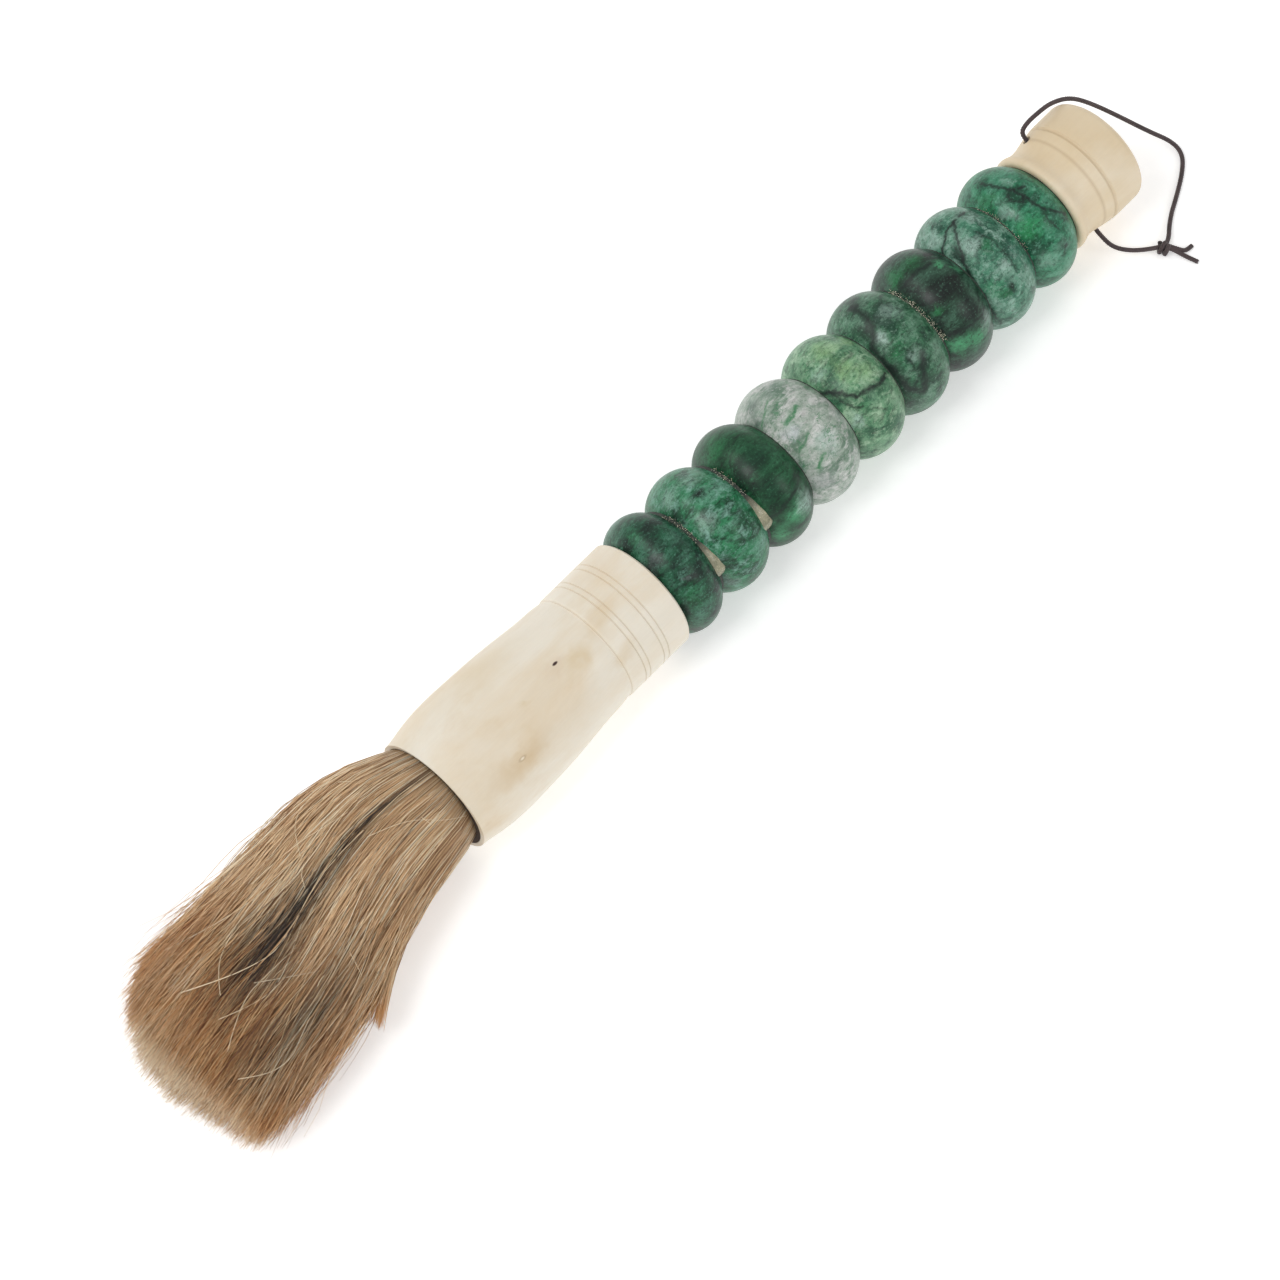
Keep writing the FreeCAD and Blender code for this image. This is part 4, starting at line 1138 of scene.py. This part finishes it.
# Stray hairs: points on the skin of the bundle as (share of the length, place across)
stray_routes = [
    [(0.81, 0.41), (0.72, 0.16), (0.635, -0.01), (0.58, -0.08), (0.54, -0.06)],
    [(0.75, 0.85), (0.645, 0.65), (0.52, 0.46), (0.43, 0.35)],
    [(0.375, 0.34), (0.34, 0.58), (0.30, 0.72), (0.25, 0.78), (0.15, 0.80)],
    [(0.236, -0.17), (0.167, -0.31), (0.11, -0.49), (0.062, -0.74), (0.012, -0.88)],
    [(0.68, -0.10), (0.61, -0.35), (0.55, -0.55)],
    [(0.755, 0.08), (0.71, 0.30), (0.645, 0.40), (0.60, 0.44)],
    [(0.43, 0.07), (0.42, 0.13), (0.41, 0.21), (0.38, 0.26)],
    [(0.87, -0.52), (0.83, -0.66), (0.79, -0.76), (0.74, -0.81), (0.70, -0.77), (0.645, -0.73)],
    [(0.465, -0.70), (0.47, -0.80), (0.48, -0.92)],
    [(0.105, -0.49), (0.10, -0.58), (0.097, -0.66)],
    [(0.17, 0.66), (0.16, 0.60), (0.15, 0.52)],
    [(0.84, -0.30), (0.74, -0.12), (0.65, -0.14), (0.55, -0.22)],
    [(0.80, -0.05), (0.70, -0.28), (0.62, -0.30), (0.50, -0.12)],
    [(0.58, -0.62), (0.565, -0.60), (0.55, -0.61)],
    [(0.50, 0.62), (0.38, 0.52), (0.27, 0.30), (0.22, 0.22)],
]
stray_lines, stray_points = [], 44
for number, stops in enumerate(stray_routes):
    along, across = np.array(stops).T
    control = [tuple(point) for point in bundle(along, across, 1.10 * np.sqrt(1 - (0.92 * across) ** 2))]
    line = evenly(route(f"stray_{number}", control), 0.0008)[0]
    pick = np.linspace(0, len(line) - 1, stray_points)
    steps = np.arange(len(line))
    stray_lines.append(np.stack([np.interp(pick, steps, line[:, k]) for k in range(3)], axis=1))
stray_lines = np.array(stray_lines)
stray_count = len(stray_lines)
root_radii = np.array([0.00015] + [0.00009] * (stray_count - 1))[:, None]
thick = root_radii * (1 - 0.6 * np.linspace(0, 1, stray_points)[None, :] ** 2)
every_point = stray_lines.shape[:2]
strays = tube_mesh("hair_strays", stray_lines, thick, 4,
                   {"shade": np.full(every_point, 1.0), "along": np.full(every_point, 0.55),
                    "dark": np.zeros(every_point)})
hair_pieces.append(strays)
print("strays", stray_count)

# %% [markdown]
# ## Hair finish
# Each hair carries three numbers in its mesh: its own shade, how far along it a point is,
# and how dark the core hair makes it. The finish turns them into colour: brown painted shade
# at the root, tan in the middle, warmer near the end and pale at the tip.

# %% Hair finish
hair = Finish("tan_hair", roughness=0.48)


def carried(finish, key):
    """A number that the mesh carries at each point."""
    node = finish.tree.nodes.new("ShaderNodeAttribute")
    node.attribute_name = key
    return node.outputs["Fac"]


shade_value, along_value, dark_value = (carried(hair, key) for key in ("shade", "along", "dark"))
fine = hair.noise(hair.place(stretch=(0.12, 1, 1)), 1500.0, 3.0, 0.6)
patch = hair.noise(hair.place(stretch=(0.5, 1, 1)), 75.0, 3.0)
tan = hair.ramp(shade_value, [(0.06, tone(158, 118, 82)), (0.40, tone(226, 185, 140)),
                              (0.68, tone(248, 215, 170)), (0.98, tone(255, 246, 220))])
warm = hair.ramp(shade_value, [(0.1, tone(122, 74, 40)), (0.45, tone(212, 146, 86)),
                               (0.9, tone(248, 208, 152))])
warm_along = hair.ramp(along_value, [(0.45, 0.0), (0.66, 0.9), (0.90, 0.9), (0.95, 0.2)])
warm_share = hair.sums("MULTIPLY", warm_along, hair.ramp(patch, [(0.38, 0.25), (0.58, 1.0)]))
colour = hair.mix(warm_share, tan, warm)
tip_share = hair.ramp(along_value, [(0.925, 0.0), (0.975, 0.6)])
colour = hair.mix(tip_share, colour, tone(240, 222, 192))
# Painted shade: the hairs darken to brown inside the ferrule's mouth and just outside it.
shaded_root = hair.ramp(along_value, [(0.0, 0.80), (0.02, 0.36), (0.08, 0.12), (0.18, 0.0)])
colour = hair.mix(shaded_root, colour, tone(92, 68, 48))
colour = hair.mix(hair.sums("MULTIPLY", dark_value, 0.95), colour, tone(38, 36, 38))
colour = hair.mix(1.0, colour, hair.ramp(fine, [(0.3, 0.82), (0.7, 1.0)]), "MULTIPLY")
hair.colour(colour)
hair.roughness(hair.ramp(fine, [(0.3, 0.42), (0.7, 0.58)]))
for piece in hair_pieces:
    piece.data.materials.append(hair.material)
for piece in hair_pieces + [underlay]:
    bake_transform(piece)
print("hair pieces", [piece.name for piece in hair_pieces])
